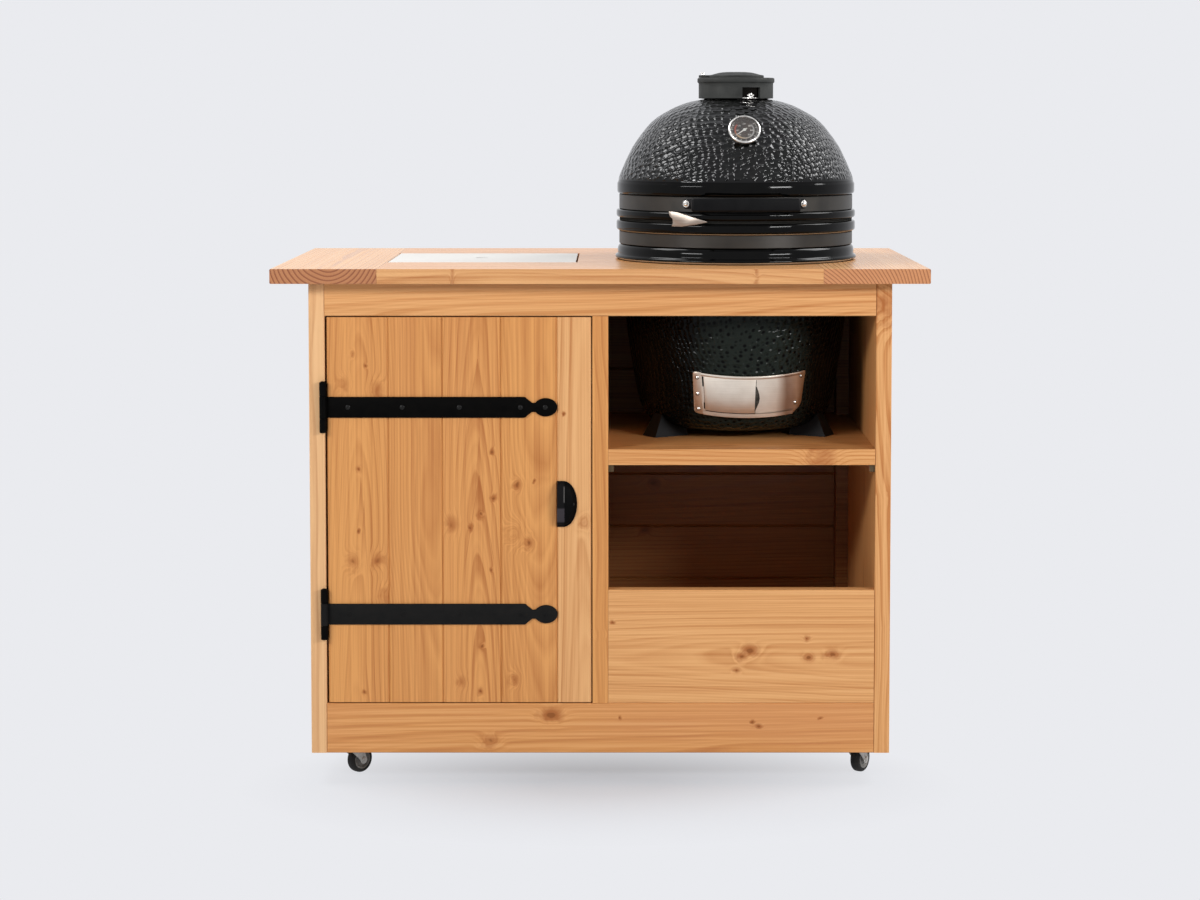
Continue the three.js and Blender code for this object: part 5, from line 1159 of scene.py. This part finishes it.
def baseBracket():
    look = hinge
    back = -look["plate"]
    plateShape = barShape([(-0.1, 33), (back, 33), (back, 53), (-0.1, 53)], -55, 55, 0.5, range(-52, 55, 4))
    plateShape = moved(bentShape(plateShape, look["band"], lambda z: look["band"]), turn(180, "Z"))
    ears = []
    for x in (-look["earOffset"], look["earOffset"]):
        root = math.sqrt(look["band"] ** 2 - x * x) + 0.3
        outline = [(root, 53), (root, 33), *arcPoints(look["setback"], look["height"], 11, -68, 112, 14)]
        ears.append(barShape(outline, x - look["ear"] / 2, x + look["ear"] / 2, 0.6))
    return merged(plateShape, *ears)


grillPiece("baseBracket", baseBracket(), "cabinet", bands, "base_hinge_bracket")
grillPiece("hingePin", hingePin(), "cabinet", bright)
grillPiece("hingeSprings", hingeSprings(), "cabinet", zinc, None, 60)
print("lid hinge done")

strap = {
    "start": -508.8, "length": 430, "tip": -78.8, "half": 19.25, "neckHalf": 8.2, "tipLength": 43, "neck": 46,
    "tipHalf": 17, "chamfer": 9, "back": -305.3, "thickness": 3, "upper": 700, "lower": 316.2, "pinY": -311.8,
    "screws": [0.105, 0.337, 0.581, 0.842, 0.948],
}
strapPin = shift(strap["start"], strap["pinY"], 0)


def strapPlate(z):
    look = strap
    tip, half = look["tip"], look["half"]
    neckX = tip - look["neck"]
    bodyEnd = neckX - look["chamfer"]
    corner = arcPoints(bodyEnd - 7, half - 7, 7, 90, 30, 6)
    top = [(-502.3, half), *corner, (neckX, look["neckHalf"])]
    round = arcPoints(tip - look["tipLength"] / 2, 0, look["tipLength"] / 2, 150, -150, 28, look["tipHalf"])
    bottom = [(x, -h) for x, h in top[::-1]]
    points = [(x, z + h) for x, h in top + round + bottom]
    plateShape = flatShape(points[::-1], look["thickness"], 0.6)
    return moved(plateShape, shift(0, look["back"], 0))


def strapKnuckle(z):
    barrel = turnedShape([(3.3, z - 20.4), (6, z - 20.4), (6.5, z - 19.8), (6.5, z + 19.8), (6, z + 20.4),
        (3.3, z + 20.4), (3.3, z - 20.4)], 32)
    return merged(moved(barrel, strapPin), blockShape((-509, -308.2, z - 19.2), (-501.5, -305.4, z + 19.2),
        0.3))


def strapScrews(z):
    look = strap
    face = look["back"] - look["thickness"] + 0.02
    places = [shift(look["start"] + look["length"] * share, face, z) for share in look["screws"]]
    return merged(*[moved(domedHead(4.5, 1.4, 1.6), place @ turn(90, "X")) for place in places])


def hingeLeaf(z):
    parts = [blockShape((-505.7, -305, z - 46.5), (-503.7, -269, z + 46.5), 0.4)]
    for low, high in ((z - 46.5, z - 20.9), (z + 20.9, z + 46.5)):
        profile = [(0, low), (6, low), (6.5, low + 0.6), (6.5, high - 0.6), (6, high), (0, high)]
        parts.append(moved(turnedShape(profile, 32), strapPin))
        parts.append(blockShape((-505.7, strap["pinY"], low), (-503.7, -303, high), 0.3))
    pin = [(0, z - 46.5), (3, z - 46.5), (3, z + 45), (5, z + 45), (5, z + 47), (3.6, z + 48.2),
        (0, z + 48.5)]
    return merged(*parts, moved(turnedShape(pin, 32), strapPin))


for level, strapIron, screwIron in (("upper", iron, worn), ("lower", lighterIron, lighterIron)):
    z = strap[level]
    tail = level.title()
    addPiece("strap" + tail, merged(strapPlate(z), strapKnuckle(z)), "door", strapIron, "strap_" + level)
    addPiece("strapScrews" + tail, strapScrews(z), "door", screwIron, None, 35)
    addPiece("hingeLeaf" + tail, hingeLeaf(z), "cabinet", iron, "hinge_leaf_" + level)

pull = {"left": -79.7, "z": 521.1, "width": 37, "half": 42.5, "flat": 12, "back": -305.3, "flange": 2.4,
    "cupDepth": 15, "cupInset": 3, "cupWall": 2}


def pullOutline(inset):  # half of it: an arc that starts a little to the right of the straight side
    look = pull
    wide = look["width"] - look["flat"] - inset
    arc = arcPoints(0, 0, wide, -90, 90, 32, look["half"] - inset)
    return [(look["left"] + look["flat"] + x, look["z"] + h) for x, h in arc]


def doorPull():
    look = pull
    left, half, flat, back, z = look["left"], look["half"], look["flat"], look["back"], look["z"]
    rim = look["cupInset"] + look["cupWall"]
    outside = [(left, z - half), *pullOutline(0), (left, z + half)]
    inside = [(left, z + half - rim), *pullOutline(rim)[::-1], (left, z - half + rim)]
    flange = moved(flatShape(outside + inside, look["flange"], 0.5), shift(0, back, 0))
    cup = bmesh.new()
    across, steps = 12, 28
    rows = []
    for inset in (look["cupInset"], rim):  # the cup's outer skin, then its inner one
        wide = look["width"] - flat - inset
        deep = look["cupDepth"] - (inset - look["cupInset"])
        grid = []
        for around in [math.radians(90 * i / across) for i in range(across + 1)]:
            line = []
            for t in [math.radians(-89.9 + 179.8 * k / steps) for k in range(steps + 1)]:
                x = left + math.sin(around) * (flat + wide * math.cos(t))
                y = back - deep * math.cos(around) ** 0.8 * math.cos(t) ** 0.6
                line.append(cup.verts.new((x / 1000, y / 1000, (z + (half - inset) * math.sin(t)) / 1000)))
            grid.append(line)
        rows.append(grid)
    outer, inner = rows
    for i in range(across):
        for k in range(steps):
            for grid in rows:
                cup.faces.new((grid[i][k], grid[i + 1][k], grid[i + 1][k + 1], grid[i][k + 1]))
    for a, b in ((outer[0], inner[0]), (outer[-1], inner[-1])):
        for k in range(steps):
            cup.faces.new((a[k], a[k + 1], b[k + 1], b[k]))
    for k in (0, -1):
        for i in range(across):
            cup.faces.new((outer[i][k], outer[i + 1][k], inner[i + 1][k], inner[i][k]))
    return merged(flange, cup)


screwPlace = shift(pull["left"] + 29, pull["back"] - 7.2, pull["z"]) @ turn(90, "X")
addPiece("doorPull", doorPull(), "door", pullIronHighlighted, "door_pull", 40)
addPiece("pullScrew", domedHead(3.4, 1.2, 1.5), "door", worn, None, 35, screwPlace)
addPiece("strikePlate", blockShape((-29.9, -283.1, 701), (-16.6, -281.4, 735.1), 0.2), "door", zinc, None,
    35)
print("door iron done")

casters = {
    "FrontLeft": (-474, -244, 45), "FrontRight": (474, -244, 57), "RearLeft": (-474, 223.4, 0),
    "RearRight": (474, 223.4, 0),
}
caster = {"trail": 28, "radius": 25, "width": 19, "race": 19, "plateUnder": 71.5, "plateTop": 74.2, "arm": 2,
    "gap": 1.4, "forkTop": 65.1, "foot": 8, "screwOffset": 22.5, "stemLow": 0.0615}


def casterPlace(name):
    x, y, yaw = casters[name]
    return shift(x, y, 0) @ turn(yaw, "Z")


def casterFork(top):
    look = caster
    near, far = look["width"] / 2 + look["gap"], look["width"] / 2 + look["gap"] + look["arm"]
    foot = arcPoints(look["trail"], look["radius"], look["foot"], 180, 360, 16)
    points = [(-look["race"], top), (-look["race"], top - 3), *foot, (look["race"] + 2, top - 5),
        (look["race"] + 2, top)]
    arms = [moved(flatShape(points, look["arm"], 0.45), shift(0, y, 0)) for y in (-near, far)]
    crown = blockShape((-look["race"], -far, top - 2), (look["race"], far, top), 0.6)
    axle = moved(rodShape(3, 2 * near, 24), shift(look["trail"], near, look["radius"]) @ turn(90, "X"))
    heads = []
    for side in (-1, 1):
        head = turnedShape([(0, 0), (5.5, 0), (5.5, 1.2), (5, 1.9), (3.6, 2), (3.2, 2.9), (0, 3)], 32)
        place = shift(look["trail"], side * (far - 0.1), look["radius"])
        heads.append(moved(head, place @ turn(-side * 90, "X")))
    return merged(*arms, crown, axle, *heads)


def wheelRing(side):  # half a section across the wheel, mirrored and spun on the axle
    profile = side + [(r, -z) for r, z in side[::-1]] + [side[0]]
    return moved(turnedShape(profile, 72), shift(caster["trail"], 0, caster["radius"]) @ turn(90, "X"))


def casterTyre():
    return wheelRing([(18, 8.3), (18.6, 9.2), (20.6, 9.4), (22.6, 8.5), (24, 6.9), (24.8, 4.9), (25, 2.7)])


def casterCore():
    return wheelRing([(3.4, 9.5), (5.2, 9.5), (5.8, 8.9), (6.6, 5.9), (8, 5.1), (12.5, 5.1), (14, 5.9),
        (15.2, 8.7), (16, 9.3), (17.4, 9.3), (18, 8.5)])


def casterMount(name):  # the plate with its four screws and the race, and at the rear the fixed fork
    under, offset = caster["plateUnder"], caster["screwOffset"]
    parts = [blockShape((-29, -29, under), (29, 29, caster["plateTop"]), 0.8)]
    parts.append(turnedShape([(0, under), (17, under), (19, under - 1.6), (19, under - 4), (17.4, under - 6),
        (6, under - 6), (0, under - 6)], 48))
    for x, y in [(x, y) for x in (-offset, offset) for y in (-offset, offset)]:
        parts.append(moved(domedHead(4, 1.6, 1.3), shift(x, y, under) @ turn(180, "X")))
    if name.startswith("Rear"):
        return moved(merged(*parts, casterFork(under - 5)), casterPlace(name))
    head = moved(domedHead(7, 2), shift(0, 0, 62.6) @ turn(180, "X"))
    stem = rodShape(4, 71, 20)
    cutAcross(stem, (0, 0, caster["stemLow"]), (0, 0, -1), True)
    return moved(merged(*parts, head, stem), shift(*casters[name][:2], 0))


for side, sign in (("left", -1), ("right", 1)):
    tail = side.title()
    xs = sorted((sign * 505.7, sign * 413.7))
    bearer = softened(blockShape((xs[0], -275.7, 74), (xs[1], 195.1, 119.7)), 1.5)
    bearerTimber = timberFinish("timberBearer" + tail, "yxz", (sign * 0.46, 0.0), seed=22.0 + sign)
    addPiece("bearer" + tail, bearer, "cabinet", bearerTimber, "caster_bearer_" + side, 25)
    mounts = merged(casterMount("Front" + tail), casterMount("Rear" + tail))
    addPiece("casterMounts" + tail, mounts, "cabinet", zinc, None, 35)
    fork = "fork_front_" + side
    addPiece("casterFork" + tail, casterFork(caster["forkTop"]), fork, zinc, "caster_" + fork,
        30, casterPlace("Front" + tail))
    for end in ("Front", "Rear"):
        place = casterPlace(end + tail)
        body = "wheel_" + end.lower() + "_" + side
        addPiece("tyre" + end + tail, casterTyre(), body, rubber, "caster_" + body, 40, place)
        addPiece("wheelCore" + end + tail, casterCore(), body, core, None, 40, place)
print("casters done")

# the floor is darker than the backdrop inside an ellipse in front of the table: a painted shadow, on which
# the real shadow also falls
studio = {
    "background": tint(234, 235, 239), "floorAlbedo": (0.52, 0.545, 0.59, 1), "floorRadius": 9,
    "floorZ": -0.0005,
    "shadowHalf": (0.56, 0.34), "shadowY": -0.32, "worldLight": 0.37,
}


def emptyTree(holder):
    holder.use_nodes = True
    holder.node_tree.nodes.clear()
    return Wire(holder.node_tree)


def finishTree(root, kind, lit, plain, share=1.0):  # camera, mirror and glass rays see the plain shader
    rays = [root.add("ShaderNodeLightPath", None, None, out) for out in (0, 3, 6)]
    seen = rays[0].most(rays[1]).most(rays[2]) * share
    root.add(kind, None, {0: root.add("ShaderNodeMixShader", None, {0: seen, 1: lit, 2: plain})})


def studioFloor():
    shape = bmesh.new()
    bmesh.ops.create_circle(shape, cap_ends=True, segments=96, radius=studio["floorRadius"])
    mesh = bpy.data.meshes.new("studioFloor")
    shape.to_mesh(mesh)
    shape.free()
    floor = linked("studioFloor", mesh)
    floor.location.z = studio["floorZ"]
    material = bpy.data.materials.new("paleFloor")
    root = emptyTree(material)
    x, y, z = root.add("ShaderNodeTexCoord", None, None, 3).axes()
    lengthwise = x / studio["shadowHalf"][0]
    forwards = (y - studio["shadowY"]) / studio["shadowHalf"][1]
    # painted shadow: the floor fades from its darker lit part inside the ellipse to the plain backdrop
    # outside
    fade = ((lengthwise * lengthwise + forwards * forwards) ** 0.5 * 0.5).ramp((0.1, 0.45), (0.6, 1.0))
    lit = root.add("ShaderNodeBsdfDiffuse", None, {"Color": studio["floorAlbedo"]})
    plain = root.add("ShaderNodeEmission", None, {"Color": studio["background"], "Strength": 1.0})
    finishTree(root, "ShaderNodeOutputMaterial", lit, plain, fade)
    mesh.materials.append(material)


def studioWorld():
    world = bpy.data.worlds.new("studioWorld")
    bpy.context.scene.world = world
    root = emptyTree(world)
    soft = root.add("ShaderNodeBackground", None, {"Color": (1, 1, 1, 1), "Strength": studio["worldLight"]})
    plain = root.add("ShaderNodeBackground", None, {"Color": studio["background"], "Strength": 1.0})
    finishTree(root, "ShaderNodeOutputWorld", soft, plain)


def softLamp(name, place, target, size, power):
    data = bpy.data.lights.new(name, "AREA")
    data.shape = "RECTANGLE"
    data.size, data.size_y = size
    data.energy = power
    lamp = linked(name, data)
    lamp.location = place
    lamp.rotation_euler = (Vector(target) - Vector(place)).to_track_quat("-Z", "Y").to_euler()


camera = {"place": (0.0259, -4.988, 1.2471), "tilt": 3.66, "sensor": 36, "focal": 2563, "picture": 1200,
    "shift": (-14.4, -177.3)}


def addCamera():  # focal and shift are in pixels of the picture's width
    data = bpy.data.cameras.new("camera")
    data.sensor_width = camera["sensor"]
    data.lens = camera["focal"] / camera["picture"] * camera["sensor"]
    data.shift_x, data.shift_y = [v / camera["picture"] for v in camera["shift"]]
    holder = linked("camera", data)
    holder.location = camera["place"]
    holder.rotation_euler = (math.radians(90 - camera["tilt"]), 0, 0)
    bpy.context.scene.camera = holder


studioFloor()
studioWorld()
for lamp in (("keyLamp", (-2.25, -2.5, 1.95), (0.1, 0, 0.7), (1.3, 0.34), 50),
        ("fillLamp", (2.55, -2.75, 1.7), (0, 0, 0.7), (1.3, 0.34), 68),
        ("leftTopLamp", (-1.8, 0.15, 3.35), (0.2, 0, 1.0), (1.3, 1.3), 64),
        ("rightTopLamp", (2.5, 0.4, 3.0), (0.2, 0, 1.0), (1.3, 1.3), 64)):
    softLamp(*lamp)
addCamera()
bpy.context.scene.view_settings.view_transform = "Standard"
print("studio done")
